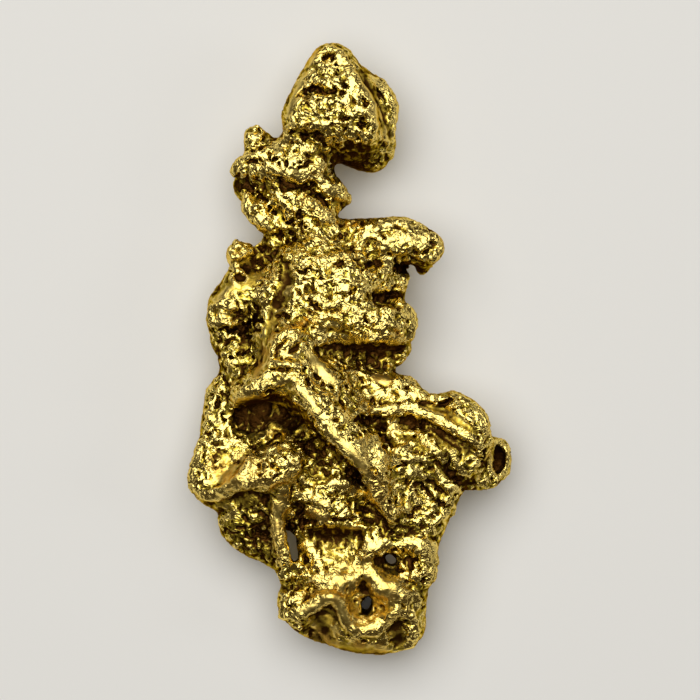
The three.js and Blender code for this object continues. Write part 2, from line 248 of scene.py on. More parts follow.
def swept(balls, reach):
    """The block of cells near a chain of balls (x, y, z, radius), and its distances to the swept chain."""
    balls = balls.astype(np.float32)
    low = np.floor((balls[:, :3] - balls[:, 3:] - reach).min(0) / CELL).astype(int) - first_cell
    high = np.ceil((balls[:, :3] + balls[:, 3:] + reach).max(0) / CELL).astype(int) - first_cell
    low = np.clip(low, 0, np.array(grid_shape) - 1)
    high = np.clip(high + 1, low + 1, grid_shape)
    block = tuple(slice(a, b) for a, b in zip(low, high))
    axes = [(first_cell[n] + np.arange(low[n], high[n])) * CELL for n in range(3)]
    x, y, z = np.meshgrid(*[a.astype(np.float32) for a in axes], indexing="ij", sparse=True)
    nearest = np.full([len(a) for a in axes], FAR, np.float32)
    for a, b in zip(balls[:-1], balls[1:]):
        d = b[:3] - a[:3]
        length = max(float(d @ d), 1e-9)
        t = np.clip(((x - a[0]) * d[0] + (y - a[1]) * d[1] + (z - a[2]) * d[2]) / length, 0, 1)
        gap = np.sqrt((x - a[0] - t * d[0]) ** 2 + (y - a[1] - t * d[1]) ** 2 + (z - a[2] - t * d[2]) ** 2)
        nearest = np.minimum(nearest, gap - a[3] - t * (b[3] - a[3]))
    return block, nearest


def soft_min(a, b, melt):
    """The smaller of two distances, with the crease between the two shapes rounded over `melt`."""
    h = np.maximum(melt - np.abs(a - b), 0) / melt
    return np.minimum(a, b) - h * h * melt / 4


drawn = {"ridge": np.zeros(grid_shape[:2], np.float32), "groove_dirt_and_shade": np.zeros(grid_shape[:2], np.float32)}
EDGE = 0.1  # mm over which a noted stroke fades out
# The groove noted at the foot of each ridge is painted shade, a dark line along its foot.
FOOT = 0.13  # mm; the width of the groove that is noted at the foot of a ridge
FOOT_DEPTH = 0.7  # how dark that groove counts, where a crack is 1


def lay(paths, sink, melt, side, add, shake, note=1.0):
    """Adds or cuts strokes, and notes down in plan where the front has been drawn on."""
    for path in paths:
        balls = draped(path, sink, side, shake)
        if balls is None:
            continue
        block, gap = swept(balls, melt)
        if add:
            clay[block] = soft_min(clay[block], gap, melt)
        else:
            clay[block] = -soft_min(-clay[block], gap, melt)
        plan = block[:2]
        relief[side][plan] = heights(clay[plan], side)
        if side > 0:
            aside = gap.min(axis=2)
            share = np.clip(0.5 - aside / EDGE, 0, 1)
            foot = FOOT_DEPTH * np.clip(1.6 - aside / FOOT, 0, 1) if add else note * share
            drawn["groove_dirt_and_shade"][plan] = np.maximum(drawn["groove_dirt_and_shade"][plan], foot)
            drawn["groove_dirt_and_shade" if add else "ridge"][plan] *= 1 - share
            if add:
                drawn["ridge"][plan] = np.maximum(drawn["ridge"][plan], share)


# %% [markdown]
# Four kinds of stroke are enough. A fold is broad and melts softly into the lump. A crest is thin and stands
# up sharply. A scoop is a broad shallow dent, and a crack is narrow, deep and sharp-edged.

# %% Four kinds of stroke
def folds(*paths, side=1):
    """Broad ridges, half sunk into the lump."""
    lay(paths, sink=0.5, melt=0.3, side=side, add=True, shake=0.02)


def crests(*paths, side=1):
    """Thin ridges that stand up sharply."""
    lay(paths, sink=0.25, melt=0.08, side=side, add=True, shake=0.035)


def scoops(*paths, side=1):
    """Broad shallow dents."""
    lay(paths, sink=-0.45, melt=0.3, side=side, add=False, shake=0.04, note=0.4)


def hooked(path):
    """A single ball drawn out into a short hook, as real pits are seldom round."""
    x, y, r = path[0]
    turn = stroke_rng.uniform(0, 2 * math.pi)
    long, thin, bend = 1.3 * r, 0.45 * r, 2.3
    ends = [(x + long * math.cos(turn + a), y + long * math.sin(turn + a), thin) for a in (0, bend)]
    return [ends[0], (x, y, 0.7 * r), ends[1]]


def cracks(*paths, side=1):
    """Narrow, deep and sharp-edged grooves, and pits where the path is a single dot."""
    paths = [path if len(path) > 1 else hooked(path) for path in paths]
    lay(paths, sink=0.3, melt=0.05, side=side, add=False, shake=0.04)


# %% [markdown]
# ## The crown
#
# The crown is a pointed hood. A long fold runs down from its tip and parts the front face from a steep flank,
# and a second, thinner lip stands out behind the flank. A fissure crosses the face, and the lower edge hangs
# down in small tongues, as metal does that grew between crystals.

# %% Crown
scoops(
    line(0.40, (0.45, 13.9), (0.85, 13.3), (1.15, 12.8)),
    line(0.42, (1.45, 12.3), (1.62, 11.6), (1.62, 10.8)),
    line(0.34, (0.3, 11.3), (0.6, 11.2), (0.95, 11.2)),
    line(0.34, (-2.3, 12.8), (-1.7, 12.85), (-0.9, 12.75)),
    line(0.26, (-2.9, 10.75), (-2.3, 10.55), (-1.6, 10.6), (-1.2, 10.2)),
)
folds(
    line(
        0.26, (-0.9, 14.9), (-0.45, 14.6), (-0.2, 14.1), (0.1, 13.6), (0.4, 13.1), (0.75, 12.6),
        (1.05, 12.1),
    ),
    line(0.24, (1.0, 12.2), (1.1, 11.6), (1.25, 11.1), (1.4, 10.6)),
    line(0.20, (-1.75, 14.4), (-1.4, 14.75), (-1.0, 14.9)),
    line(0.20, (1.0, 13.5), (1.45, 13.35), (1.8, 13.0), (2.1, 12.5), (2.25, 12.0), (2.15, 11.4)),
    line(0.20, (2.1, 11.0), (2.1, 10.3), (2.0, 9.7)),
    line(0.20, (0.55, 11.95), (0.9, 11.5), (1.2, 11.0)),
)
cracks(
    line(0.16, (-2.65, 12.55), (-2.35, 12.8), (-2.0, 12.95), (-1.65, 12.9), (-1.3, 12.7)),
    line(0.10, (-1.4, 12.72), (-0.9, 12.7), (-0.4, 12.82)),
    line(0.11, (-0.28, 13.2), (-0.36, 12.8), (-0.4, 12.3)),
    line(0.15, (1.3, 13.0), (1.5, 12.7), (1.72, 12.3)),
    line(0.10, (0.4, 12.5), (0.65, 12.35), (0.9, 12.1)),
    line(0.10, (-0.05, 12.0), (0.0, 11.6), (-0.4, 11.3)),
    line(0.14, (-2.85, 10.75), (-2.55, 10.5), (-2.2, 10.55), (-1.8, 10.65), (-1.3, 10.85)),
    line(0.07, (-1.5, 14.1), (-1.2, 14.15), (-0.95, 14.3), (-0.75, 14.05), (-0.65, 13.85)),
    line(0.17, (0.4, 11.3), (0.65, 11.2), (0.9, 11.22)),
    line(0.09, (-1.4, 13.65), (-1.2, 13.6)),
    line(0.08, (-2.45, 12.15), (-2.1, 12.25)),
)
cracks(
    line(0.12, (-1.45, 14.3), (-1.3, 14.5), (-1.05, 14.55), (-0.8, 14.7)),
    line(0.10, (-1.15, 14.2), (-0.8, 14.35)),
    dot(-0.68, 13.85, 0.11), dot(0.3, 12.9, 0.15),
    dot(-2.8, 10.8, 0.15), dot(-1.05, 11.8, 0.09), dot(-0.85, 11.45, 0.10), dot(-1.2, 10.95, 0.12),
    dot(0.45, 10.4, 0.12), dot(0.9, 10.6, 0.16), dot(-0.75, 10.55, 0.12), dot(-0.2, 10.75, 0.14),
)
crests(
    line(0.18, (-1.15, 10.9), (-1.05, 10.5), (-0.9, 10.15)),
    line(0.18, (-0.6, 10.75), (-0.5, 10.4), (-0.4, 10.15)),
    line(0.16, (0.0, 10.85), (0.15, 10.55), (0.2, 10.35)),
    line(0.15, (0.5, 10.75), (0.65, 10.4)),
    line(0.13, (0.1, 10.1), (0.5, 9.85)),
    line(0.17, (1.6, 11.1), (1.7, 10.6), (1.8, 10.3)),
    line(0.09, (1.25, 12.6), (1.5, 12.25), (1.6, 12.0), (1.9, 11.8)),
    line(0.10, (0.3, 14.1), (0.55, 13.65), (0.7, 13.3)),
    dot(-2.4, 12.72, 0.13),
    *rake(0.08, [(1.2, 12.3), (1.4, 11.7), (1.5, 11.1)], [(1.8, 11.9), (1.95, 11.4), (1.95, 10.8)], 4),
)

# %% [markdown]
# ## The neck and the nub
#
# Below the crown the metal is a pile of lobes with deep gaps between them. A small twisted nub stands on the
# left. Lobes are folds with a scoop on each side, so that the gap is as deep as the lobe is high.

# %% Neck
scoops(
    line(0.40, (-5.9, 8.35), (-5.2, 8.3), (-4.5, 8.2)),
    line(0.30, (-4.9, 7.9), (-4.4, 7.65), (-4.0, 7.1), (-3.6, 6.6)),
    line(0.30, (-2.0, 8.0), (-1.5, 7.6), (-1.1, 7.2)),
    line(0.40, (-4.0, 5.6), (-3.4, 5.6), (-2.9, 5.5)),
    line(0.28, (-3.5, 8.4), (-2.8, 8.2), (-2.1, 8.1)),
)
folds(
    line(
        0.26, (-5.8, 8.9), (-5.4, 9.35), (-4.8, 9.6), (-4.2, 9.7), (-3.8, 10.05), (-3.3, 10.25),
        (-3.0, 10.5),
    ),
    line(0.32, (-4.1, 9.1), (-3.4, 8.95), (-2.8, 8.65), (-2.3, 8.6), (-1.9, 8.95), (-1.6, 9.3)),
    line(0.32, (-1.5, 8.5), (-1.1, 8.1), (-0.6, 7.75), (-0.1, 7.5)),
    line(0.26, (-5.1, 7.7), (-5.2, 7.1), (-4.8, 6.7), (-4.4, 6.3), (-4.0, 6.0)),
    line(0.28, (-2.3, 7.5), (-1.7, 7.1), (-1.2, 6.6), (-0.7, 6.0)),
    line(0.20, (-2.2, 6.2), (-1.8, 5.8), (-1.5, 5.3)),
)
cracks(
    line(0.13, (-5.0, 9.9), (-4.5, 9.95), (-4.1, 10.1)),
    line(0.10, (-5.3, 9.3), (-4.8, 9.4), (-4.3, 9.5)),
    line(0.14, (-4.0, 9.8), (-3.9, 9.5), (-3.5, 9.3), (-3.0, 9.2), (-2.6, 9.1), (-2.3, 9.2), (-1.9, 9.35)),
    line(0.14, (-3.6, 8.5), (-3.1, 8.4), (-2.6, 8.15), (-2.2, 8.0), (-1.8, 8.3)),
    line(0.13, (-4.9, 7.9), (-4.5, 7.8), (-4.2, 7.4), (-4.0, 7.0), (-3.7, 6.7)),
    line(0.15, (-1.85, 8.0), (-1.5, 7.6), (-1.15, 7.2)),
    line(0.16, (-3.3, 6.5), (-3.0, 6.4), (-2.8, 6.2)),
    line(0.12, (-2.5, 6.1), (-2.2, 6.0), (-1.8, 5.9)),
    line(0.13, (-1.2, 5.95), (-0.9, 5.7)),
    line(0.12, (-5.35, 9.95), (-5.0, 9.85), (-4.6, 9.95)),
)
cracks(
    dot(-2.45, 7.0, 0.13), dot(-2.5, 6.6, 0.11), dot(-3.4, 8.1, 0.12), dot(-3.7, 9.9, 0.15),
    dot(-4.8, 6.8, 0.11),
    dot(-2.7, 9.75, 0.09), dot(-2.1, 9.6, 0.09), dot(-1.3, 9.2, 0.12), dot(-3.4, 6.85, 0.11),
    dot(-3.6, 7.2, 0.08),
    dot(-3.0, 5.8, 0.14), dot(-2.4, 5.5, 0.10), dot(-0.5, 5.7, 0.10), dot(-4.5, 11.0, 0.07),
)
crests(
    line(0.18, (-5.4, 9.1), (-5.35, 8.7)),
    line(0.17, (-4.9, 9.0), (-4.8, 8.5)),
    line(0.17, (-4.4, 8.9), (-4.35, 8.5)),
    line(0.20, (-3.5, 10.0), (-3.4, 9.5)),
    line(0.18, (-2.9, 10.05), (-2.85, 9.7)),
    line(0.17, (-2.25, 10.1), (-1.95, 9.7)),
    line(0.16, (-1.6, 9.6), (-1.3, 9.3)),
    line(0.12, (-2.9, 9.5), (-2.4, 9.45), (-2.1, 9.5)),
    line(0.15, (-0.4, 7.9), (-0.05, 7.75)),
    line(0.14, (-2.6, 5.8), (-2.2, 5.6)),
    line(0.13, (-1.5, 5.7), (-1.1, 5.4)),
    line(0.10, (-3.6, 5.5), (-3.3, 5.3)),
)

# %% Nub
scoops(
    line(0.34, (-5.1, 4.2), (-4.6, 4.45), (-4.1, 4.8), (-3.6, 5.2)),
    line(0.24, (-4.7, 5.0), (-4.3, 5.2)),
)
crests(
    line(0.17, (-5.75, 5.5), (-5.6, 5.25), (-5.35, 5.05)),
    line(0.22, (-6.0, 4.8), (-5.7, 4.65), (-5.4, 4.6)),
    line(0.18, (-5.3, 4.8), (-4.95, 4.95), (-4.8, 4.8)),
    line(0.18, (-5.9, 4.15), (-5.65, 3.95), (-5.35, 3.85), (-5.2, 3.55)),
    line(0.15, (-5.9, 3.8), (-5.8, 3.4), (-5.55, 3.15)),
)
cracks(
    line(0.11, (-5.9, 4.45), (-5.4, 4.35)),
    line(0.13, (-5.75, 3.75), (-5.5, 3.5), (-5.2, 3.55)),
    dot(-5.6, 5.0, 0.13),
)

# %% [markdown]
# ## The left shoulder and the trench
#
# The left shoulder ends in a lip that curls round on itself, with fine slanting wrinkles beside it. A trench
# runs down between the shoulder and the middle. Gravel reached into it and polished it, so it has long
# shallow lines and no crystals.

# %% Left shoulder
scoops(arc(0.17, -6.40, 1.8, 0.32, 200, -20))
folds(line(0.20, (-6.95, 1.3), (-6.3, 1.4), (-5.6, 1.3)))
crests(
    arc(0.19, -6.42, 1.8, 0.52, 225, 10),
    arc(0.13, -6.38, 1.78, 0.17, 280, -40),
    line(0.20, (-5.9, 2.1), (-5.6, 2.1)),
    *rake(0.08, [(-5.5, 2.5), (-5.25, 2.1)], [(-4.3, 2.9), (-4.05, 2.3)], 7),
    *rake(0.08, [(-5.6, 1.85), (-4.9, 1.75)], [(-5.4, 1.5), (-4.9, 1.5)], 3),
    line(0.20, (-4.8, 1.3), (-4.4, 1.15)),
    arc(0.10, -4.6, 0.65, 0.22, 0, 300),
    line(0.13, (-5.9, 0.4), (-5.5, 0.1)),
    line(0.12, (-5.8, 0.0), (-5.5, 0.5)),
    line(0.18, (-6.4, -0.2), (-6.2, -0.4)),
    line(0.18, (-5.8, -0.6), (-5.3, -0.5)),
    line(0.15, (-5.7, -1.3), (-5.4, -1.25)),
    line(0.12, (-6.8, 0.4), (-6.3, 0.1)),
    line(0.14, (-6.0, -1.0), (-5.6, -0.95)),
)
cracks(
    line(
        0.17, (-7.05, 1.0), (-6.5, 1.0), (-5.8, 1.05), (-5.3, 1.15), (-4.95, 1.35), (-4.6, 1.5),
        (-4.2, 1.45),
    ),
    line(0.11, (-5.15, 0.25), (-4.7, 0.1)),
    line(0.12, (-6.2, -0.5), (-5.8, -0.25), (-5.4, -0.2), (-5.0, -0.3)),
    line(0.10, (-3.8, 3.35), (-3.7, 3.1)),
    line(0.10, (-3.75, 2.7), (-3.65, 2.3)),
    dot(-4.4, 3.3, 0.11), dot(-5.0, -0.9, 0.14), dot(-6.2, -1.2, 0.16), dot(-3.55, 3.6, 0.09),
    dot(-6.5, 0.75, 0.12), dot(-5.3, 0.7, 0.10),
)

# %% Trench
scoops(line(0.30, (-3.2, 4.2), (-3.15, 3.5), (-3.35, 2.8), (-3.8, 1.7), (-4.1, 0.7)))
crests(*rake(0.07, [(-3.75, 1.1), (-3.85, 0.2), (-4.2, -0.8)], [(-4.3, 0.9), (-4.5, 0.0), (-4.9, -1.2)], 4))

# %% [markdown]
# ## The middle, the arm and the bulge
#
# Here the skin is covered in small rings and commas, each the rim of a print that a crystal left. The arm
# reaches out to the right above a dark notch, and the bulge below the notch overhangs everything under it.

# %% Middle
crests(
    arc(0.13, -2.95, 2.75, 0.30, 200, -60),
    line(0.14, (-2.7, 3.1), (-2.5, 2.8), (-2.35, 2.5)),
    line(0.18, (-2.3, 2.6), (-1.9, 2.65), (-1.5, 2.4), (-1.2, 2.2), (-0.8, 2.15)),
    line(0.11, (-3.75, 1.8), (-3.4, 2.0), (-3.0, 1.95)),
    line(0.12, (-3.55, 1.42), (-3.15, 1.37)),
    arc(0.13, -1.0, 1.05, 0.30, 20, 320),
    arc(0.17, -1.0, 1.05, 0.68, 60, 250),
    line(0.12, (-0.6, 4.7), (-0.2, 4.75), (0.0, 4.5)),
    line(0.14, (-1.9, 4.6), (-1.5, 4.4), (-1.1, 4.5)),
    line(0.13, (-2.8, 3.7), (-2.4, 3.6), (-2.0, 3.8)),
    line(0.14, (-0.3, 3.5), (0.2, 3.6), (0.6, 3.4)),
)
cracks(
    line(0.13, (-3.65, 1.63), (-3.3, 1.73), (-2.95, 1.7)),
    line(0.11, (-2.1, 2.45), (-1.7, 2.25), (-1.4, 2.08)),
    line(0.10, (-2.62, 2.95), (-2.5, 2.65)),
    line(0.10, (-0.7, 2.8), (-0.3, 2.85), (0.1, 2.7)),
    line(0.09, (-2.7, 4.0), (-2.3, 4.02), (-1.9, 3.95)),
    line(0.12, (-0.75, 4.2), (-0.45, 4.4), (-0.2, 4.45)),
    line(0.08, (-1.6, 4.0), (-1.5, 3.6), (-1.2, 3.4)),
    dot(-2.2, 0.7, 0.11), dot(-1.3, 3.85, 0.10), dot(-1.05, 2.95, 0.09), dot(-0.4, 1.5, 0.08),
    dot(-1.7, 1.2, 0.08),
    dot(-0.9, 1.9, 0.07), dot(-1.8, 3.2, 0.09), dot(0.3, 2.9, 0.09),
)

# %% Arm
scoops(
    line(0.30, (0.95, 5.3), (1.2, 5.6)),
    line(0.45, (0.6, 4.4), (1.2, 4.35)),
    line(0.42, (2.3, 4.15), (2.9, 4.1), (3.3, 4.0)),
)
folds(
    line(0.24, (0.5, 4.7), (0.45, 5.1), (0.7, 5.6), (1.2, 6.05), (1.8, 6.3), (2.6, 6.4), (3.3, 6.2)),
    line(0.22, (1.4, 5.9), (1.7, 5.4), (1.95, 5.0)),
    line(0.20, (1.6, 4.9), (1.85, 4.4), (1.95, 3.9)),
    line(0.20, (4.15, 5.6), (4.45, 5.2), (4.3, 4.75), (3.8, 4.6)),
    line(0.20, (2.75, 3.7), (2.55, 3.4), (2.45, 3.05)),
)
cracks(
    line(0.11, (1.5, 5.85), (1.7, 5.65), (1.9, 5.5)),
    line(0.10, (2.2, 6.1), (2.5, 6.05), (2.8, 5.8)),
    line(0.11, (3.1, 5.7), (3.35, 5.4)),
    line(0.10, (3.3, 6.0), (3.6, 5.65)),
    line(0.14, (3.85, 5.1), (4.15, 5.2)),
    line(0.15, (2.1, 4.3), (2.7, 4.3), (3.1, 4.2)),
    line(0.12, (0.05, 5.0), (0.25, 4.75)),
    line(0.12, (0.8, 4.2), (1.3, 4.5)),
    dot(2.6, 5.0, 0.11), dot(2.4, 5.75, 0.08), dot(1.6, 3.7, 0.13), dot(1.1, 3.9, 0.11), dot(0.5, 5.3, 0.07),
)
crests(
    *rake(0.10, [(1.6, 5.9), (2.1, 5.3), (2.5, 4.8)], [(3.5, 6.1), (3.9, 5.6), (4.2, 5.4)], 7),
    dot(2.0, 4.55, 0.16), dot(2.35, 4.5, 0.15), dot(2.8, 4.55, 0.15), dot(3.5, 4.6, 0.16),
    line(0.12, (0.85, 4.9), (1.4, 5.2)),
    line(0.13, (0.4, 4.3), (0.8, 4.6)),
)

# %% Bulge and the hollow that it hangs over
scoops(
    line(0.45, (1.25, 2.6), (1.8, 2.6), (2.4, 2.8)),
    line(0.45, (-1.5, -0.1), (-0.6, 0.0), (0.5, -0.05), (1.5, -0.1), (2.6, 0.0)),
    line(0.50, (-0.2, -0.45), (0.8, -0.5), (1.7, -0.5), (2.3, -0.4)),
)
cracks(line(0.26, (1.2, 2.5), (1.6, 2.55), (2.0, 2.75)))
folds(
    line(0.22, (-1.9, 0.3), (-1.5, 0.5), (-1.0, 0.6), (-0.4, 0.62), (0.1, 0.5), (0.6, 0.62), (1.2, 0.7)),
    line(0.22, (1.1, 0.7), (1.8, 0.6), (2.4, 0.5), (2.9, 0.55)),
    line(0.20, (2.1, 2.5), (2.5, 2.25), (2.9, 2.0), (3.15, 1.6), (3.15, 1.1), (3.0, 0.6)),
)
crests(
    line(0.14, (0.2, 1.7), (0.45, 1.4), (0.4, 1.1), (0.2, 0.8)),
    dot(1.1, 1.4, 0.18),
    line(0.15, (1.3, 1.2), (1.6, 0.95), (1.95, 0.75)),
    line(0.11, (0.5, 1.9), (0.9, 1.95), (1.3, 1.75), (1.5, 1.5)),
    line(0.11, (1.7, 1.6), (1.9, 1.35), (2.2, 1.25)),
    *rake(0.08, [(-1.7, -0.3), (-1.1, -0.8), (-0.5, -1.3)], [(-1.1, 0.1), (-0.4, -0.4), (0.3, -0.9)], 4),
    line(0.11, (0.6, -0.2), (0.8, -0.5)),
    line(0.11, (1.75, -0.1), (2.1, -0.2)),
    line(0.11, (1.4, -0.6), (1.8, -0.48), (2.2, -0.5)),
    dot(2.3, -0.3, 0.10),
    line(0.13, (-0.2, -1.1), (0.3, -1.05), (0.6, -1.3)),
    line(0.11, (-0.1, -1.5), (0.3, -1.35)),
)
cracks(
    line(0.13, (2.2, 2.2), (2.45, 2.05), (2.7, 1.85)),
    line(0.10, (0.4, 0.87), (0.75, 0.87)),
    line(0.08, (0.7, 1.8), (0.8, 1.4), (0.95, 1.1)),
    dot(2.8, 1.5, 0.14), dot(2.55, 1.7, 0.09), dot(1.15, 1.1, 0.09), dot(1.7, 1.9, 0.08),
    dot(2.3, 0.95, 0.08),
    dot(0.1, -0.5, 0.12), dot(0.5, -1.6, 0.12), dot(1.0, -0.85, 0.12),
)

# %% [markdown]
# ## The knuckle, the straps and the brow
#
# At its highest the metal folded over like a knuckle, with two or three creases round it. Two flat straps run
# down from it to the right, and a smooth brow runs down to the left, above the great hollow. These stand
# highest of all, so they are the most worn.

# %% Knuckle, straps and brow
folds(
    line(0.34, (-2.1, -0.1), (-1.6, -0.75), (-1.1, -1.3), (-0.6, -1.7)),
    line(0.27, (-2.5, -1.9), (-2.0, -2.4), (-1.65, -2.9)),
    line(0.28, (-3.9, -1.0), (-4.2, -1.6), (-4.7, -1.85), (-5.2, -2.1), (-5.7, -2.4)),
)
scoops(line(0.26, (-2.2, -1.0), (-1.7, -1.3), (-1.35, -1.9)))
crests(
    line(0.22, (-3.85, -0.5), (-3.8, 0.0), (-3.5, 0.5), (-3.15, 0.8), (-2.75, 0.85)),
    line(0.14, (-3.5, -0.3), (-3.35, 0.1), (-3.05, 0.4)),
    dot(-2.7, 0.65, 0.20),
    line(0.22, (-3.9, -0.6), (-3.2, -0.74), (-2.6, -0.72)),
    line(0.15, (-3.6, -1.1), (-3.7, -1.6)),
    line(0.15, (-2.9, -1.1), (-3.1, -1.5), (-3.6, -1.7)),
    line(0.14, (-2.0, -1.25), (-1.7, -1.65), (-1.45, -1.85)),
    *rake(0.10, [(-5.6, -1.9), (-5.3, -2.3)], [(-4.4, -1.6), (-4.3, -2.1)], 6),
)
cracks(
    line(0.10, (-3.65, -0.25), (-3.55, 0.15), (-3.2, 0.6)),
    line(0.13, (-3.0, -0.1), (-2.8, 0.1), (-2.5, 0.3)),
    line(0.08, (-3.7, -0.42), (-3.2, -0.48), (-2.6, -0.48)),
    line(0.09, (-3.9, -0.95), (-3.3, -1.0), (-2.7, -0.92)),
    line(0.12, (-2.25, -0.95), (-1.85, -1.0)),
    line(0.13, (-1.85, -1.1), (-1.5, -1.45), (-1.3, -1.9)),
    line(0.11, (-2.15, -1.35), (-1.95, -1.75), (-1.6, -2.1)),
    line(0.15, (-1.0, -1.9), (-0.5, -1.98)),
    dot(-0.9, -2.1, 0.12),
)

# %% [markdown]
# ## The left wing
#
# A deep hollow with a ragged left wall, and below it a thick ridge that runs out to a rounded shoulder. The
# underside of the ridge is smooth. A thin strand hangs from its right end, next to an open slot.

# %% Great hollow
scoops(
    line(0.75, (-5.5, -3.6), (-4.6, -3.5), (-3.6, -3.5)),
    line(0.50, (-5.5, -3.2), (-4.5, -2.95), (-3.5, -3.15), (-2.9, -3.6), (-2.3, -4.1)),
)
crests(
    *rake(
        0.09, [(-5.6, -4.5), (-4.8, -4.1), (-4.0, -3.5)], [(-3.7, -4.9), (-3.1, -4.5), (-2.8, -4.1)],
        6, shake=0.06,
    ),
    line(0.10, (-3.3, -4.85), (-2.95, -4.5), (-2.65, -4.1)),
    arc(0.11, -2.3, -4.15, 0.27, 200, -20),
    *rake(0.09, [(-6.4, -4.4), (-6.2, -4.9)], [(-5.2, -4.6), (-5.5, -5.1)], 5),
    line(0.15, (-7.2, -3.5), (-6.9, -2.7), (-6.5, -2.0)),
    line(0.12, (-6.6, -3.6), (-6.4, -2.9), (-6.15, -2.4)),
    dot(-7.0, -3.4, 0.20), dot(-6.45, -3.9, 0.13), dot(-6.5, -1.9, 0.16), dot(-5.9, -1.6, 0.15),
)
cracks(
    dot(-6.2, -2.2, 0.16), dot(-6.3, -3.4, 0.13), dot(-6.8, -2.3, 0.11),
    line(0.16, (-7.25, -4.2), (-6.7, -4.1)),
    line(0.13, (-6.75, -2.9), (-6.55, -2.5)),
)

# %% Lower ridge and strand
scoops(line(0.50, (-7.1, -7.85), (-6.2, -7.6), (-5.2, -7.3), (-4.3, -7.3)))
folds(
    line(0.38, (-7.2, -7.25), (-6.5, -7.2), (-6.0, -6.85), (-5.5, -6.5), (-5.1, -6.1), (-4.95, -5.6)),
    line(0.30, (-5.0, -5.7), (-4.6, -5.25), (-3.9, -5.0), (-3.2, -4.8)),
    line(0.30, (-2.5, -5.1), (-2.8, -5.8), (-3.1, -6.4), (-3.6, -6.8), (-4.4, -6.75)),
    line(0.42, (-3.3, -6.2), (-3.9, -6.35), (-4.7, -6.4), (-5.2, -6.6)),
    line(0.17, (-7.5, -4.7), (-7.6, -5.4), (-7.85, -6.2), (-7.85, -6.8), (-7.5, -7.3)),
    line(0.32, (-3.3, -6.9), (-3.45, -7.6), (-3.62, -8.5), (-3.5, -9.4), (-3.2, -10.3)),
    line(0.22, (-6.4, -8.6), (-6.0, -8.25), (-5.4, -8.1)),
)
cracks(
    line(0.14, (-4.5, -6.2), (-4.1, -6.28), (-3.5, -6.15)),
    line(0.12, (-7.3, -5.2), (-7.0, -5.6)),
    line(0.12, (-7.45, -6.2), (-7.5, -6.8)),
    line(0.16, (-2.35, -7.75), (-2.4, -8.3), (-2.4, -8.9)),
    dot(-4.6, -5.65, 0.16), dot(-3.3, -5.4, 0.15), dot(-3.85, -5.65, 0.09), dot(-4.0, -6.1, 0.09),
    dot(-6.1, -5.2, 0.11), dot(-5.6, -5.5, 0.10), dot(-6.6, -5.5, 0.11),
)
crests(
    *rake(0.10, [(-7.2, -5.9), (-6.6, -5.75)], [(-5.9, -5.0), (-5.2, -5.3)], 4),
    line(0.12, (-7.0, -6.05), (-6.5, -6.0), (-6.1, -5.8)),
    line(0.20, (-7.3, -7.1), (-6.5, -7.0), (-6.0, -6.7), (-5.5, -6.35), (-5.15, -5.95), (-5.0, -5.55)),
    dot(-5.6, -9.7, 0.16), dot(-4.8, -8.3, 0.18), dot(-2.9, -8.1, 0.18), dot(-4.3, -8.9, 0.13),
    line(0.12, (-2.75, -6.55), (-2.5, -7.1)),
    line(0.16, (-3.2, -10.9), (-3.5, -11.2), (-3.1, -11.4)),
)

# %% [markdown]
# ## The spine and the hollows beside it
#
# The spine is the longest fold. It runs on from the straps almost to the toe, between two hollows full of
# dark dirt, with slivers of metal standing up in them.

# %% Spine
scoops(
    line(0.55, (-2.3, -4.7), (-1.5, -5.0), (-0.8, -5.6)),
    line(0.55, (-2.1, -5.7), (-1.5, -6.1), (-0.9, -6.2)),
    line(0.35, (-0.2, -6.0), (0.4, -6.4), (0.85, -6.7)),
    line(0.45, (0.5, -3.45), (1.0, -3.5), (1.5, -3.4)),
    line(0.40, (1.6, -3.6), (1.75, -4.4), (1.85, -5.0)),
    line(0.45, (2.3, -3.6), (2.9, -3.6), (3.5, -3.7)),
    line(0.40, (0.5, -7.9), (1.0, -8.3), (1.6, -8.6)),
)
folds(
    line(0.34, (-1.7, -3.0), (-1.3, -3.5), (-0.8, -4.1), (-0.3, -4.6), (0.2, -5.1), (0.65, -5.6)),
    line(0.62, (1.15, -4.5), (1.3, -5.1), (1.3, -5.8)),
    line(0.34, (1.5, -5.5), (1.55, -6.2), (1.7, -6.8)),
    line(0.28, (0.5, -5.4), (1.05, -6.3), (1.3, -6.9), (1.6, -7.5), (2.0, -8.2)),
    line(0.25, (-2.6, -7.15), (-2.0, -7.3), (-1.5, -7.4), (-1.1, -7.75)),
    line(0.30, (-0.9, -6.65), (-0.3, -6.6), (0.2, -6.95), (0.8, -7.2), (1.3, -7.2)),
    line(0.28, (-2.0, -7.85), (-1.5, -8.1), (-1.0, -8.6)),
)
cracks(
    line(0.20, (0.35, -3.3), (0.7, -3.6), (1.1, -3.5), (1.3, -3.3)),
    line(0.20, (1.6, -4.0), (1.75, -4.6), (1.85, -5.1)),
    line(0.14, (3.1, -4.2), (3.15, -4.8)),
    line(0.11, (0.1, -4.5), (0.6, -4.1), (1.2, -3.8)),
    line(0.12, (-1.4, -2.85), (-1.1, -2.8)),
    dot(-0.7, -3.5, 0.13), dot(-1.85, -3.4, 0.13), dot(-2.0, -5.9, 0.14), dot(-1.5, -6.6, 0.13),
    dot(0.2, -6.3, 0.14), dot(-0.3, -5.3, 0.15), dot(0.0, -7.7, 0.12), dot(-0.9, -4.9, 0.12),
    line(0.10, (-1.0, -8.45), (0.0, -8.4), (0.8, -8.3)),
)
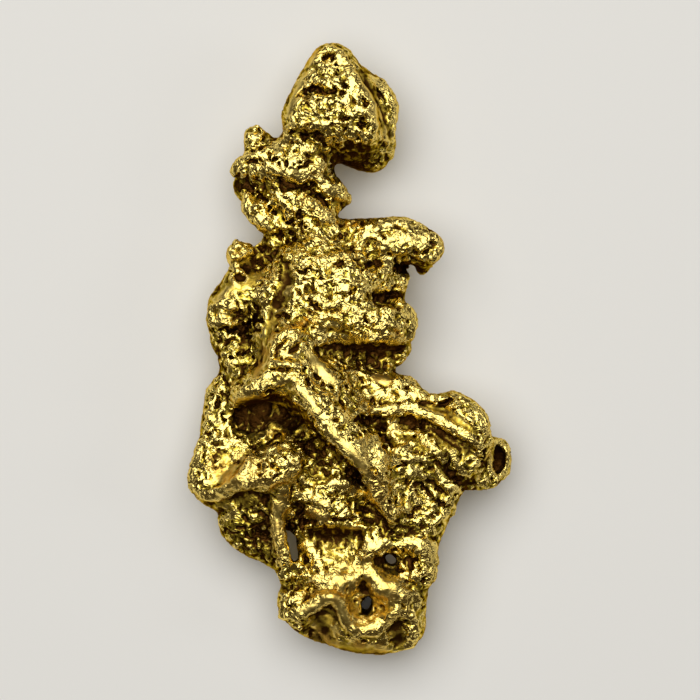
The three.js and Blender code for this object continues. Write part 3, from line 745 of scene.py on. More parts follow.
crests(
    arc(0.14, -0.65, -3.45, 0.32, 150, -150),
    line(0.11, (-1.1, -5.0), (-0.9, -5.4)),
    line(0.11, (-0.75, -5.6), (-0.6, -6.1)),
    line(0.12, (-2.55, -6.2), (-2.3, -6.6), (-2.15, -7.0)),
    line(0.12, (-1.4, -6.2), (-1.0, -6.6)),
    line(0.11, (-2.1, -5.3), (-1.9, -5.8)),
    line(0.11, (-1.7, -4.5), (-1.3, -4.7)),
    line(0.10, (-1.7, -6.9), (-1.4, -6.5)),
    dot(0.8, -6.5, 0.15), dot(-1.5, -8.6, 0.15), dot(-0.5, -7.9, 0.15), dot(-0.1, -8.1, 0.13),
    *rake(0.08, [(1.9, -3.15), (2.3, -3.5), (2.7, -3.5)], [(2.1, -4.4), (2.5, -4.5), (3.0, -4.6)], 4),
)

# %% [markdown]
# ## The right shoulder and its ring
#
# A clear narrow rim runs along the shoulder, with a rough band above it and a dark flank below. At the tip a
# thin loop of metal stands round a dark pocket. The ground below the shoulder is a heap of small lumps.

# %% Right shoulder
scoops(
    line(0.30, (4.6, -2.85), (5.1, -2.6)),
    line(0.42, (4.3, -5.5), (5.0, -6.2), (5.7, -6.7)),
    line(0.34, (4.0, -6.6), (4.6, -7.1)),
    line(0.32, (3.6, -2.75), (4.6, -3.0), (5.4, -3.45), (6.2, -4.1)),
    line(0.36, (4.2, -3.95), (5.0, -4.45), (5.8, -4.95), (6.2, -5.3)),
)
folds(
    line(
        0.22, (0.85, -2.95), (1.5, -2.97), (2.2, -2.92), (2.8, -2.9), (3.4, -3.05), (4.0, -3.25),
        (4.6, -3.4),
    ),
    line(0.20, (4.5, -3.35), (4.9, -3.8), (5.4, -4.1), (6.0, -4.35), (6.4, -4.6)),
    line(0.20, (0.35, -2.2), (0.7, -2.65), (0.8, -3.1)),
    line(0.17, (2.3, -1.5), (2.65, -1.8), (2.9, -1.45), (3.15, -1.6), (3.2, -2.1), (3.7, -2.3), (4.2, -2.5)),
    line(0.18, (5.1, -2.25), (5.5, -2.35), (5.9, -2.7)),
    line(0.20, (6.3, -2.9), (6.6, -3.4), (6.75, -4.0), (6.85, -4.6)),
    line(0.20, (3.5, -4.1), (3.9, -4.6), (4.2, -5.0), (4.5, -5.4)),
    line(0.22, (5.1, -5.1), (5.3, -5.7), (5.7, -6.1)),
    line(0.16, (6.5, -4.9), (6.25, -5.4), (5.95, -6.1)),
    line(0.14, (4.2, -6.0), (4.7, -6.4), (5.0, -6.8), (5.5, -7.05)),
)
cracks(
    line(0.16, (4.4, -2.7), (4.8, -2.6), (5.3, -2.5)),
    dot(6.3, -4.5, 0.15), dot(5.6, -3.3, 0.10), dot(6.0, -3.6, 0.09), dot(1.1, -2.6, 0.09),
    dot(2.0, -2.2, 0.08),
    dot(0.6, -1.9, 0.10), dot(3.4, -2.4, 0.10),
    line(0.08, (2.2, -2.55), (2.6, -2.6), (2.9, -2.3)),
)
crests(
    arc(0.12, 1.5, -2.25, 0.26, 200, 0),
    arc(0.12, 2.5, -2.25, 0.26, 120, -120),
    arc(0.11, 0.95, -2.2, 0.20, 90, 330),
    *rake(0.09, [(5.4, -3.4), (5.9, -3.8)], [(5.9, -2.7), (6.4, -3.2)], 4),
    *rake(0.06, [(3.9, -4.0), (4.6, -4.6), (5.0, -4.9)], [(5.2, -4.3), (5.8, -4.7), (6.2, -4.9)], 3),
    *rake(0.09, [(4.1, -5.6), (4.7, -6.1)], [(3.5, -6.5), (4.1, -7.0)], 3),
)

# %% Lumps below the shoulder
crests(
    line(0.22, (2.1, -5.0), (2.6, -5.0), (3.0, -4.7)),
    line(0.18, (2.2, -5.45), (2.8, -5.4), (3.3, -5.3), (3.8, -5.35)),
    line(0.26, (2.8, -6.2), (3.2, -6.0), (3.6, -6.2)),
    line(0.20, (1.45, -5.5), (1.45, -6.0), (1.65, -6.4), (2.0, -6.5)),
    line(0.20, (2.3, -6.6), (2.2, -7.0)),
    line(0.20, (3.2, -7.2), (3.4, -7.5)),
    line(0.20, (4.4, -7.1), (4.8, -7.4)),
    line(0.20, (4.1, -8.6), (4.5, -8.3), (4.8, -8.05)),
    line(0.20, (3.6, -7.9), (3.9, -8.2)),
    line(0.18, (2.2, -7.9), (2.8, -7.9), (3.0, -7.6)),
    line(0.17, (3.8, -7.5), (4.1, -7.8)),
    line(0.15, (5.1, -7.5), (5.15, -8.2)),
    line(0.14, (3.9, -6.7), (4.2, -7.1)),
)
cracks(
    line(0.12, (2.0, -5.75), (2.6, -5.65), (3.1, -5.85)),
    line(0.14, (2.8, -6.5), (3.2, -6.6), (3.6, -6.6)),
    line(0.15, (4.2, -7.4), (4.7, -7.7)),
    line(0.13, (3.6, -6.9), (3.9, -7.3)),
    line(0.14, (4.5, -7.95), (4.1, -8.25)),
    line(0.12, (2.6, -7.6), (2.2, -7.5)),
    dot(3.5, -7.75, 0.11), dot(1.75, -6.15, 0.12), dot(2.45, -7.2, 0.14), dot(3.1, -8.2, 0.12),
    dot(3.2, -6.9, 0.10),
)

# %% Ring at the tip of the shoulder
folds(
    line(0.13, (7.0, -4.6), (7.5, -4.55), (7.85, -4.85), (7.9, -5.4), (7.85, -6.0), (7.6, -6.4), (7.2, -6.3)),
)
cracks(
    line(0.40, (7.40, -5.0), (7.43, -5.5), (7.38, -5.9)),
    line(0.24, (6.62, -5.0), (6.58, -5.5), (6.50, -5.9)),
)
folds(line(0.10, (6.95, -4.5), (7.0, -5.2), (6.95, -6.1)))
crests(*rake(0.09, [(6.2, -6.2), (6.3, -6.9)], [(7.0, -6.3), (7.0, -6.7)], 4))

# %% [markdown]
# ## The toe
#
# The toe was pressed into smooth prints by two crystals that have gone. The wall between the prints is left
# as a ridge in the shape of a W. Above it a step is covered in upright needles, and holes go right through.

# %% Toe
scoops(
    line(0.45, (1.5, -10.6), (2.1, -10.6), (3.0, -10.5)),
    [(-1.2, -13.3, 0.60), (-1.4, -13.9, 0.85), (-1.6, -14.5, 0.80)],
    [(2.2, -13.8, 0.50), (2.4, -14.3, 0.65), (2.6, -14.8, 0.60)],
    line(0.30, (0.6, -11.6), (0.75, -12.2)),
    line(0.28, (-3.3, -11.75), (-2.8, -11.8)),
    line(0.35, (-2.3, -10.2), (-2.1, -10.6)),
    line(0.50, (-1.9, -9.3), (-0.8, -9.5), (0.3, -9.3)),
)
folds(
    line(0.28, (-3.5, -13.3), (-2.9, -13.2), (-2.2, -13.0), (-1.6, -12.6), (-1.2, -12.3), (-0.8, -12.25)),
    line(0.28, (-0.9, -12.25), (-0.5, -12.5), (-0.4, -13.0), (-0.2, -13.5), (0.2, -14.0)),
    line(
        0.24, (0.1, -14.0), (0.8, -13.95), (1.4, -13.85), (1.9, -13.5), (2.15, -13.1), (2.6, -13.0),
        (3.1, -13.1),
    ),
    line(0.32, (-1.8, -11.4), (-1.2, -11.25), (-0.5, -11.4), (0.1, -11.4)),
    line(0.28, (0.55, -10.1), (0.95, -9.7), (1.6, -9.55), (2.05, -9.7)),
    line(0.28, (2.4, -9.7), (2.9, -9.5), (3.5, -9.5), (4.0, -9.9), (4.15, -10.6), (4.05, -11.4)),
    line(0.20, (-2.6, -9.9), (-2.4, -9.65), (-2.0, -9.8), (-1.7, -10.2), (-1.5, -10.7)),
    line(0.30, (0.8, -10.4), (1.1, -11.2), (1.6, -11.7), (2.3, -12.1)),
    line(0.55, (0.9, -10.0), (1.3, -9.85)),
    line(0.60, (1.5, -11.9), (2.2, -11.8), (2.7, -12.5)),
    line(0.50, (-1.6, -11.5), (-0.6, -11.6)),
    line(0.45, (3.4, -9.8), (3.8, -10.3)),
    line(0.25, (2.6, -12.2), (3.2, -12.1), (3.4, -12.6)),
    line(0.20, (3.1, -13.3), (3.35, -14.0), (3.1, -14.7)),
)
cracks(
    dot(-3.1, -12.7, 0.15), dot(-3.0, -12.1, 0.11), dot(-2.2, -12.5, 0.11), dot(0.6, -11.9, 0.13),
    dot(0.2, -12.4, 0.11),
    dot(3.3, -10.8, 0.12), dot(2.5, -11.2, 0.10), dot(1.9, -12.3, 0.10), dot(1.0, -13.0, 0.10),
    dot(-2.0, -11.9, 0.10),
    dot(2.7, -12.7, 0.10), dot(-0.2, -11.9, 0.09), dot(3.7, -11.6, 0.13),
    line(0.10, (0.5, -11.1), (0.7, -11.6), (0.8, -12.1)),
)
crests(
    dot(-3.35, -12.2, 0.17), dot(-2.5, -12.2, 0.19), dot(-3.4, -12.8, 0.15), dot(-2.55, -13.75, 0.17),
    dot(-0.75, -13.7, 0.11), dot(2.85, -14.7, 0.12), dot(2.6, -10.75, 0.18),
    *rake(0.10, [(-2.1, -8.8), (-2.0, -10.4)], [(0.4, -8.9), (0.4, -10.4)], 11, 0.07),
    *rake(0.08, [(2.4, -10.5), (2.5, -10.95)], [(2.8, -10.5), (2.9, -10.95)], 3),
    line(0.14, (1.3, -12.7), (1.7, -12.5), (2.1, -12.6)),
    line(0.14, (0.1, -13.1), (0.4, -13.5), (0.9, -13.6)),
)

# %% [markdown]
# ## The back
#
# The back lay against the gravel, so it is flatter and smoother than the front. It has a few long creases
# where lobes met, some shallow dents, and pits that are still full of earth.

# %% Back
scoops(
    line(0.50, (-1.5, 9.4), (-0.9, 8.9)),
    line(0.60, (-4.6, 0.6), (-3.6, 0.2)),
    line(0.60, (3.4, -4.3), (4.4, -4.1)),
    line(0.55, (-4.9, -6.6), (-4.1, -7.1)),
    line(0.50, (1.9, -10.2), (2.1, -11.2)),
    side=-1,
)
folds(
    line(0.30, (-1.6, 12.8), (-1.1, 11.7), (-0.3, 10.8), (0.5, 10.4)),
    line(0.30, (-3.9, 3.0), (-2.6, 2.4), (-1.2, 2.5), (0.1, 1.7)),
    line(0.34, (-5.2, -2.2), (-4.0, -2.9), (-2.4, -2.7), (-1.0, -3.3), (-0.3, -4.5)),
    line(0.30, (-0.7, -6.0), (-0.2, -7.6), (0.4, -9.2), (0.2, -11.0)),
    line(0.28, (4.9, -4.7), (3.8, -5.7), (2.8, -7.3)),
    line(0.26, (-2.0, -12.9), (-0.6, -13.5), (1.2, -13.3), (2.4, -12.6)),
    side=-1,
)
cracks(
    line(0.13, (-2.6, 10.9), (-2.1, 10.0), (-1.3, 9.9)),
    line(0.12, (-3.4, 7.2), (-2.7, 6.4), (-1.9, 6.3)),
    line(0.13, (-2.2, 3.4), (-0.9, 3.6), (0.2, 3.1), (0.9, 2.3)),
    line(0.14, (-5.6, -0.9), (-4.7, -1.3), (-3.6, -1.0)),
    line(0.14, (-3.6, -4.4), (-3.1, -5.6), (-3.0, -6.9), (-2.5, -8.1)),
    line(0.12, (1.0, -2.6), (0.7, -3.9), (1.0, -5.2), (0.8, -6.6)),
    line(0.12, (4.1, -6.8), (4.2, -7.8), (3.4, -8.6)),
    line(0.12, (-1.6, -11.0), (-0.6, -11.9), (0.2, -11.9)),
    side=-1,
)

print("metal after the strokes:", round(float((clay < 0).sum()) * CELL**3), "cubic mm")


# %% [markdown]
# ## Worn, stained, filmed and shaded places
#
# Not all of the skin is alike. Places that gravel could reach are worn smooth. Deep places hold dark brown
# earth, and the same map also paints shade where the front lies in shade. Here and there a thin film of iron
# rust lies on the gold, which makes it orange and a little dull. Each of the three is a map of the front seen
# in plan, painted with soft strokes like the ones above. The back has no such maps. There the dirt and the
# painted shade follow from the relief alone, and the skin is rough all over.

# %% Maps in plan
plan_x = (first_cell[0] + np.arange(grid_shape[0]))[:, None] * CELL
plan_y = (first_cell[1] + np.arange(grid_shape[1]))[None, :] * CELL


def gap_in_plan(path):
    """For each column of cells, how far outside a stroke it is, negative inside."""
    nearest = np.full(grid_shape[:2], float(FAR))
    for (ax, ay, ar), (bx, by, br) in zip(path, path[1:] or path):
        dx, dy = bx - ax, by - ay
        t = np.clip(((plan_x - ax) * dx + (plan_y - ay) * dy) / max(dx * dx + dy * dy, 1e-9), 0, 1)
        gap = np.hypot(plan_x - ax - t * dx, plan_y - ay - t * dy) - ar - t * (br - ar)
        nearest = np.minimum(nearest, gap)
    return nearest


SOFT_EDGE = 0.6  # of the radius of a painted stroke


def painted(*paths):
    """1 along the middle of each stroke, fading to 0 at its edge."""
    total = np.zeros(grid_shape[:2], np.float32)
    for path in paths:
        share = np.clip(-gap_in_plan(path) / (SOFT_EDGE * max(r for _, _, r in path)), 0, 1)
        total = np.maximum(total, share * share * (3 - 2 * share))
    return total


# %% [markdown]
# Gravel only reaches what stands out. The tops of the straps, the rims and the toe are worn through to smooth
# metal. Wider places round them are worn too, but less. So there are two layers, a full one and a weaker one,
# and the stronger of the two counts. The tops of the folds that were drawn above have lost half of their
# roughness as well. Only the lower end of the spine, which lies in the lee of its neighbours, is still rough.

# %% Worn places
worn = painted(
    line(0.40, (0.45, 13.8), (0.95, 13.0), (1.35, 12.2), (1.65, 11.3), (1.95, 10.4)),
    line(0.35, (-3.1, 11.6), (-2.7, 12.7), (-2.2, 13.8)),
    line(0.45, (-3.2, 4.2), (-3.1, 3.4), (-3.35, 2.7), (-3.9, 1.5), (-4.1, 0.6), (-4.3, -0.4), (-4.7, -1.3)),
    line(0.45, (-2.1, -0.1), (-1.6, -0.75), (-1.1, -1.3), (-0.6, -1.7)),
    line(0.35, (-2.5, -1.9), (-2.0, -2.4), (-1.65, -2.9)),
    line(0.65, (-6.7, 2.6), (-5.9, 3.1), (-5.0, 3.5), (-4.4, 3.8)),
    line(0.50, (-5.6, -2.5), (-4.8, -2.5), (-3.8, -2.6)),
    line(0.35, (-1.0, -3.8), (0.0, -4.9), (1.0, -6.1), (1.4, -7.2)),
    line(1.10, (-1.8, -13.8), (-1.1, -13.6), (-1.2, -14.4)),
    line(0.80, (2.3, -13.9), (2.5, -14.7)),
    line(0.60, (-1.8, -14.5), (0.3, -15.0), (2.2, -15.0)),
    line(0.30, (-3.45, -7.2), (-3.7, -8.5), (-3.6, -9.4)),
    line(0.55, (1.3, -1.4), (1.9, -1.5)),
    line(0.50, (3.2, 4.0), (3.6, 3.7)),
    line(0.45, (-1.8, 14.8), (-2.1, 14.2)),
    line(0.35, (1.4, 12.0), (1.6, 11.2)),
    line(0.35, (3.6, -2.75), (4.6, -3.05), (5.4, -3.5), (6.2, -4.1)),
    line(0.45, (-1.0, -8.9), (0.5, -8.9)),
    line(0.55, (-6.9, -6.6), (-6.2, -6.3), (-5.6, -5.7)),
    line(0.30, (-2.7, -13.15), (-1.4, -12.5), (-0.7, -12.2), (-0.4, -13.0), (0.1, -13.8)),
)
worn = np.maximum(worn, 0.65 * painted(
    line(3.2, (-1.2, -12.4), (0.6, -12.2), (2.2, -12.4)),
    line(1.5, (-5.6, -3.5), (-4.4, -3.6), (-3.2, -3.7)),
    line(1.2, (-1.9, -9.5), (-0.8, -9.6), (0.4, -9.5)),
    line(1.1, (-6.7, -6.3), (-6.0, -5.8), (-5.4, -5.3)),
    line(0.8, (3.9, -4.0), (4.9, -4.5), (6.0, -5.2)),
    line(0.6, (0.6, -4.4), (0.9, -5.1)),
    line(0.8, (-7.4, -7.4), (-6.5, -7.6), (-5.2, -7.3), (-4.2, -7.3)),
    line(0.5, (-7.2, -7.25), (-6.0, -6.85), (-5.1, -6.1), (-4.9, -5.5)),
    line(0.6, (1.6, 5.2), (2.6, 5.5), (3.8, 5.5)),
    dot(-6.4, 1.8, 0.85), dot(-3.2, -0.2, 1.1), dot(7.4, -5.4, 1.1), dot(-5.6, 4.5, 1.1), dot(-1.0, 1.1, 0.8),
    dot(-3.2, -1.3, 0.9), dot(2.4, -3.9, 0.9),
))
worn = np.maximum(worn, 0.5 * drawn["ridge"])
worn = worn * (1 - 0.8 * painted(line(0.9, (1.2, -5.4), (1.4, -6.6), (2.1, -8.2))))

# %% [markdown]
# Earth fills the fissures and hollows, and this map also paints the shade that falls in them and under
# overhangs. The first layer marks them one by one. The second is wider and weaker, for ground that is only
# stained or in shade. A third and fourth deepen the largest hollows and the shoulders a little more, as
# painted
# shade. The last two are taken away again: they are edges and high ground that face the lamp, painted
# lighter.

# %% Dark places: earth and painted shade
# Earth and painted shade alike: fissures, hollows and the shaded undersides of lobes.
earth_and_shade_map = painted(
    line(0.38, (0.5, 13.9), (1.0, 13.0), (1.45, 12.2), (1.7, 11.3), (1.95, 10.6)),
    line(0.35, (-0.6, 10.2), (0.4, 10.0), (1.3, 10.0)),
    line(0.30, (-3.0, 10.75), (-2.3, 10.55), (-1.6, 10.6), (-1.2, 10.25)),
    line(0.20, (0.3, 11.25), (0.95, 11.1)),
    line(0.22, (-0.1, 10.8), (0.3, 10.65)),
    line(0.28, (-3.9, 9.6), (-3.3, 9.3), (-2.3, 9.15), (-1.7, 9.3)),
    line(0.28, (-4.9, 8.2), (-4.2, 8.0), (-3.2, 8.3), (-2.4, 8.1), (-1.6, 8.0)),
    line(0.24, (-5.3, 10.0), (-4.6, 9.95), (-4.1, 10.2)),
    line(0.50, (-3.3, 4.6), (-3.2, 3.5), (-3.5, 2.6), (-4.0, 1.6)),
    line(0.75, (-0.9, 9.6), (0.3, 9.4), (1.4, 9.5)),
    line(0.60, (-5.0, 4.25), (-4.2, 4.8), (-3.5, 5.2)),
    line(0.50, (-5.8, 8.1), (-5.3, 8.1)),
    line(0.30, (-7.0, 1.0), (-5.5, 1.1), (-4.4, 1.45)),
    line(1.15, (-5.6, -3.35), (-4.5, -3.35), (-3.2, -3.5)),
    line(0.60, (-3.0, -3.7), (-2.2, -4.5), (-1.6, -5.2)),
    line(0.80, (-1.6, -5.4), (-1.4, -6.2)),
    line(0.50, (-0.6, -5.3), (0.2, -6.1), (0.8, -6.6)),
    line(0.45, (0.6, -3.4), (1.5, -3.5), (1.8, -4.6)),
    line(0.60, (2.6, -3.5), (3.6, -3.7)),
    line(0.50, (1.3, 2.6), (2.3, 2.7)),
    line(0.60, (-1.2, 0.0), (0.8, -0.1), (2.4, 0.0)),
    line(0.60, (0.6, -0.4), (1.6, -0.5), (2.2, -0.4)),
    line(0.60, (3.2, 4.0), (3.7, 3.7)),
    line(0.70, (-1.5, -13.4), (-1.2, -14.0)),
    line(0.55, (2.3, -13.8), (2.4, -14.4)),
    line(1.50, (-5.9, -8.9), (-5.0, -8.8), (-4.4, -9.4)),
    line(0.70, (-5.2, -9.9), (-4.0, -10.2)),
    line(0.50, (2.7, -10.5), (3.2, -10.8)),
    line(0.40, (1.5, -10.5), (2.0, -10.5)),
    line(0.35, (3.5, -11.6), (3.6, -12.4)),
    line(0.35, (0.6, -11.5), (0.85, -12.3)),
    line(0.40, (4.4, -5.6), (5.2, -6.4), (5.7, -6.8)),
    line(0.50, (7.3, -5.2), (7.4, -5.8)),
    line(0.28, (6.6, -5.1), (6.6, -5.8)),
    line(0.50, (-5.3, -7.7), (-4.2, -7.5)),
    line(0.35, (-2.4, -7.8), (-2.6, -8.8)),
    line(0.60, (0.6, -8.0), (1.6, -8.5), (2.7, -8.8)),
    line(0.80, (-2.0, -9.0), (-0.8, -9.2), (0.5, -9.1)),
    line(0.40, (1.6, 12.4), (1.75, 11.3)),
    line(0.35, (0.4, 4.2), (1.4, 4.4)),
    line(0.40, (2.2, 4.1), (3.0, 4.1)),
    line(0.50, (3.9, -3.85), (4.8, -4.4), (5.9, -5.0)),
    line(0.50, (6.0, -5.6), (6.1, -6.4)),
    line(0.40, (2.3, -4.1), (3.2, -4.6)),
    line(0.50, (-6.8, 2.8), (-5.9, 3.5), (-5.0, 3.9)),
    line(0.50, (-6.1, 3.0), (-5.2, 3.4), (-4.5, 3.8)),
    line(0.50, (0.5, -9.0), (2.3, -9.15), (3.5, -8.9)),
)
earth_and_shade_map = np.maximum(earth_and_shade_map, 0.5 * painted(
    line(0.40, (3.4, -2.65), (4.4, -2.95), (5.3, -3.4), (6.3, -4.2)),
    line(0.60, (-4.0, 1.6), (-4.2, 0.4), (-4.7, -0.9)),
    line(1.10, (-7.0, -5.0), (-6.8, -5.8), (-6.3, -6.2)),
    line(0.90, (-5.5, -4.1), (-4.4, -4.3), (-3.5, -4.1)),
    line(0.70, (3.6, -3.9), (4.7, -4.3), (5.8, -4.9)),
    line(1.00, (-1.9, -9.7), (-0.8, -9.8), (0.3, -9.7)),
    line(0.80, (-5.6, -7.2), (-4.4, -7.2), (-3.4, -7.2)),
    line(0.70, (-3.4, -7.2), (-3.7, -8.2), (-3.7, -9.2)),
    line(0.80, (-4.9, -2.2), (-4.0, -2.2)),
    line(0.80, (-1.4, -13.6), (-1.2, -14.3)),
    line(0.70, (-2.8, -14.0), (-1.0, -14.8), (1.4, -15.1)),
    line(0.60, (2.3, -14.1), (2.4, -14.8)),
    line(0.60, (-6.5, 3.3), (-5.6, 3.9)),
    line(0.60, (-6.6, 0.6), (-6.6, -0.6), (-6.2, -1.3)),
    line(0.50, (-0.2, 5.7), (0.6, 6.3)),
    line(0.60, (-2.8, -8.4), (-1.6, -8.6)),
    line(0.60, (2.6, -5.8), (3.6, -6.6), (4.6, -7.4)),
    line(0.60, (-3.4, 5.7), (-2.4, 5.8), (-1.2, 5.9)),
    line(0.70, (-6.8, -4.7), (-6.2, -5.1), (-5.7, -4.8)),
    line(0.80, (-5.6, 2.8), (-4.8, 2.2), (-4.6, 1.0)),
    line(0.80, (-6.0, 0.5), (-5.4, -0.4), (-5.6, -1.3)),
    line(0.80, (-6.3, -2.6), (-6.6, -3.6)),
    line(0.80, (3.9, -4.4), (5.0, -5.0), (5.6, -5.9)),
    line(0.60, (-5.0, -9.2), (-4.2, -8.6)),
    line(0.35, (-3.2, 11.0), (-3.1, 12.0), (-2.6, 13.2), (-2.1, 14.2)),
    line(0.35, (0.9, 12.9), (1.2, 12.2), (1.5, 11.2)),
    line(0.50, (6.7, -4.2), (6.8, -4.8)),
    line(0.90, (-5.0, 3.0), (-5.0, 2.0), (-4.9, 0.6), (-5.3, -0.8)),
))
# Painted shade: the largest hollows and shaded slopes are made darker still.
earth_and_shade_map = earth_and_shade_map + 0.25 * painted(
    line(1.10, (-5.6, -3.7), (-4.5, -3.9), (-3.3, -3.9)),
    line(1.00, (-1.9, -9.2), (-0.8, -9.3), (0.3, -9.2)),
    line(1.00, (-5.6, -9.0), (-4.6, -9.4)),
    line(0.50, (-3.3, 4.5), (-3.3, 3.2), (-3.8, 1.6), (-4.2, 0.2)),
    line(0.80, (-1.0, 0.0), (0.8, -0.3), (2.3, -0.2)),
    line(1.00, (-5.2, 2.6), (-5.0, 1.0), (-5.6, -0.8)),
    line(0.80, (-6.9, -5.2), (-6.2, -5.6)),
    line(0.50, (-3.35, -7.3), (-3.6, -8.6), (-3.45, -9.8)),
)
earth_and_shade_map = earth_and_shade_map + 0.30 * painted(
    line(1.5, (-6.2, 2.6), (-5.6, 0.8), (-6.0, -1.0)),
    line(1.6, (-6.0, -3.2), (-4.8, -3.6), (-3.2, -3.6)),
    line(1.6, (3.4, -4.6), (4.6, -5.6), (4.4, -7.2)),
)
# Painted light: places that face the lamp are made lighter again.
earth_and_shade_map = earth_and_shade_map - 0.30 * painted(
    line(1.6, (-4.4, 9.4), (-3.2, 9.2), (-1.8, 8.6)),
    line(1.6, (-3.6, 7.2), (-2.2, 6.6), (-0.8, 5.6)),
    line(2.2, (-2.0, 4.2), (0.0, 3.2), (1.8, 3.4)),
    line(1.4, (-0.6, 1.6), (1.6, 1.4)),
    line(1.6, (-1.6, -11.6), (0.4, -11.4), (2.0, -12.2)),
)
# Painted highlight: lit rims, crests and plateaus are made lighter.
earth_and_shade_map = earth_and_shade_map - 0.45 * painted(
    line(0.60, (0.3, -4.6), (0.9, -4.9), (1.2, -5.8), (1.4, -6.8)),
    line(0.55, (-4.8, -5.8), (-4.0, -5.6), (-3.2, -5.6)),
    line(0.35, (-7.0, -7.1), (-6.2, -6.9), (-5.5, -6.4)),
    line(0.35, (0.9, -2.9), (2.4, -2.9), (4.0, -3.25), (5.2, -4.0), (6.4, -4.6)),
    line(0.45, (-2.1, -0.1), (-1.3, -1.1), (-0.6, -1.7)),
    line(0.25, (-1.9, 0.35), (-1.0, 0.65), (0.1, 0.55), (1.2, 0.75), (2.4, 0.55), (3.0, 0.7)),
    line(0.40, (-2.5, -1.9), (-1.7, -2.9), (-0.9, -4.0), (0.3, -5.2)),
    line(0.50, (-4.6, 10.9), (-4.9, 10.5)),
    line(0.40, (-1.0, 10.6), (-0.4, 10.4), (0.2, 10.4), (0.9, 10.6)),
)

# %% [markdown]
# The film of rust is strongest in small patches, and faint over the toe, the wing and the strand. Rubbed
# places have a little of it too, since it settles in the fine scratches of worn metal.

# %% Rusty places
rust = painted(
    line(0.45, (-4.2, 0.0), (-4.6, -1.2)),
    line(0.90, (-6.8, -5.6), (-6.2, -6.2)),
    line(0.80, (-1.9, -14.0), (-0.9, -14.3)),
    line(0.60, (-2.0, -8.0), (-1.2, -8.3)),
    line(0.60, (1.3, -1.4), (1.9, -1.5)),
    line(0.45, (-0.5, 6.3), (0.6, 6.35)),
    line(0.50, (-1.9, -12.0), (-0.5, -12.05)),
    line(0.75, (0.4, -14.6), (1.6, -14.9)),
    line(0.50, (-2.1, -14.2), (-0.7, -14.7)),
    line(0.35, (-3.1, 1.15), (-2.2, 1.35)),
    dot(-2.3, 7.5, 0.45), dot(-2.2, 12.45, 0.40), dot(-2.1, 11.1, 0.35), dot(-1.9, 1.6, 0.40),
    dot(-4.3, -2.3, 0.35), dot(2.9, -9.8, 0.35), dot(-0.4, 1.95, 0.30), dot(2.3, 0.9, 0.40),
    dot(-1.7, 14.8, 0.40),
)
rust = np.maximum(rust, 0.55 * painted(
    line(3.4, (-1.2, -12.4), (0.6, -12.2), (2.0, -12.4)),
    line(1.8, (-6.2, -6.0), (-5.2, -6.2), (-4.0, -6.4)),
    line(1.4, (-5.4, -3.6), (-3.6, -3.8)),
    line(0.9, (-3.3, -7.0), (-3.7, -8.4), (-3.5, -10.2)),
    line(0.9, (0.6, -5.6), (1.3, -6.9), (1.9, -8.2)),
))
rust = np.maximum(rust, 0.35 * worn)
print("share of the plan that is worn, dark, rusty:", [round(float(m.mean()), 3) for m in (worn, earth_and_shade_map, rust)])


# %% [markdown]
# The maps are flat, so they have to be told which points they mean: those above the middle of the lump. They
# fade out over a short height there, so that no edge shows on the flanks.

# %% The same maps for points in space
FADE_HEIGHT = 0.4  # mm
middle_height = (relief[1] + relief[-1]) / 2


def on_front(p, plan_map):
    """The map's value at each point, 0 on the lower half of the lump, and the height above its middle."""
    i = np.clip(np.rint(p[:, 0] / CELL).astype(int) - first_cell[0], 0, grid_shape[0] - 1)
    j = np.clip(np.rint(p[:, 1] / CELL).astype(int) - first_cell[1], 0, grid_shape[1] - 1)
    above = np.nan_to_num(p[:, 2] - middle_height[i, j], nan=0.0)
    return plan_map[i, j] * np.clip(above / FADE_HEIGHT + 0.5, 0, 1), above


# %% [markdown]
# ## Crystalline skin
#
# Between the worn places the skin is hackly: a maze of winding crests with pits between, each a quarter of a
# millimetre or so across, where crystals of quartz once pressed against the metal. Noise in space gives this
# with no seams. The noise here is the classic one: a random slope at each corner of a lattice, blended across
# the cell. Folding it at zero turns its zero lines into sharp crests, and cutting it off at a level leaves
# separate pits. A coarse skin comes first and a fine one on top of it. Both fade out where the metal is worn,
# and the coarse one also on steep flanks, where it would be drawn out into streaks.

# %% Noise for a cloud of points
SLOPE_COUNT = 4096  # a power of two, so that the last bits of a number can pick one
SLOPES = np.random.default_rng(79).normal(size=(SLOPE_COUNT, 3)).astype(np.float32)
SLOPES /= np.linalg.norm(SLOPES, axis=1, keepdims=True)
PRIMES = (73856093, 19349663, 83492791)
SEED_STEP = 17.31  # moves the lattice along, so that each seed gives other noise
TO_ONE = 1.6  # brings the highest values near to 1


def scrambled(i, j, k):
    """Which slope belongs to a corner of the lattice."""
    return ((i * PRIMES[0]) ^ (j * PRIMES[1]) ^ (k * PRIMES[2])) & (SLOPE_COUNT - 1)


def noise(p, seed=0):
    """Gradient noise, about -1 to 1, with features one unit apart."""
    p = p + np.float32(seed * SEED_STEP)
    base = np.floor(p).astype(np.int64)
    f = (p - base).astype(np.float32)
    u = f * f * f * (f * (f * 6 - 15) + 10)
    total = np.zeros(len(p), np.float32)
    for dx in (0, 1):
        for dy in (0, 1):
            for dz in (0, 1):
                g = SLOPES[scrambled(base[:, 0] + dx, base[:, 1] + dy, base[:, 2] + dz)]
                offset = f - np.array([dx, dy, dz], np.float32)
                weight = (
                    (u[:, 0] if dx else 1 - u[:, 0])
                    * (u[:, 1] if dy else 1 - u[:, 1])
                    * (u[:, 2] if dz else 1 - u[:, 2])
                )
                total += weight * np.einsum("ij,ij->i", g, offset)
    return total * TO_ONE


def warped(p, amount, size, seed):
    """The points pushed about by slow noise, so that what is drawn with them winds."""
    push = np.stack([noise(p / size, seed + n) for n in range(3)], axis=1)
    return p + amount * push


def cells_near(reach):
    """Indices and places of the cells that lie within reach of the surface."""
    near = np.nonzero(np.abs(clay) < reach)
    return near, np.stack([(n + o) * CELL for n, o in zip(near, first_cell)], axis=1).astype(np.float32)


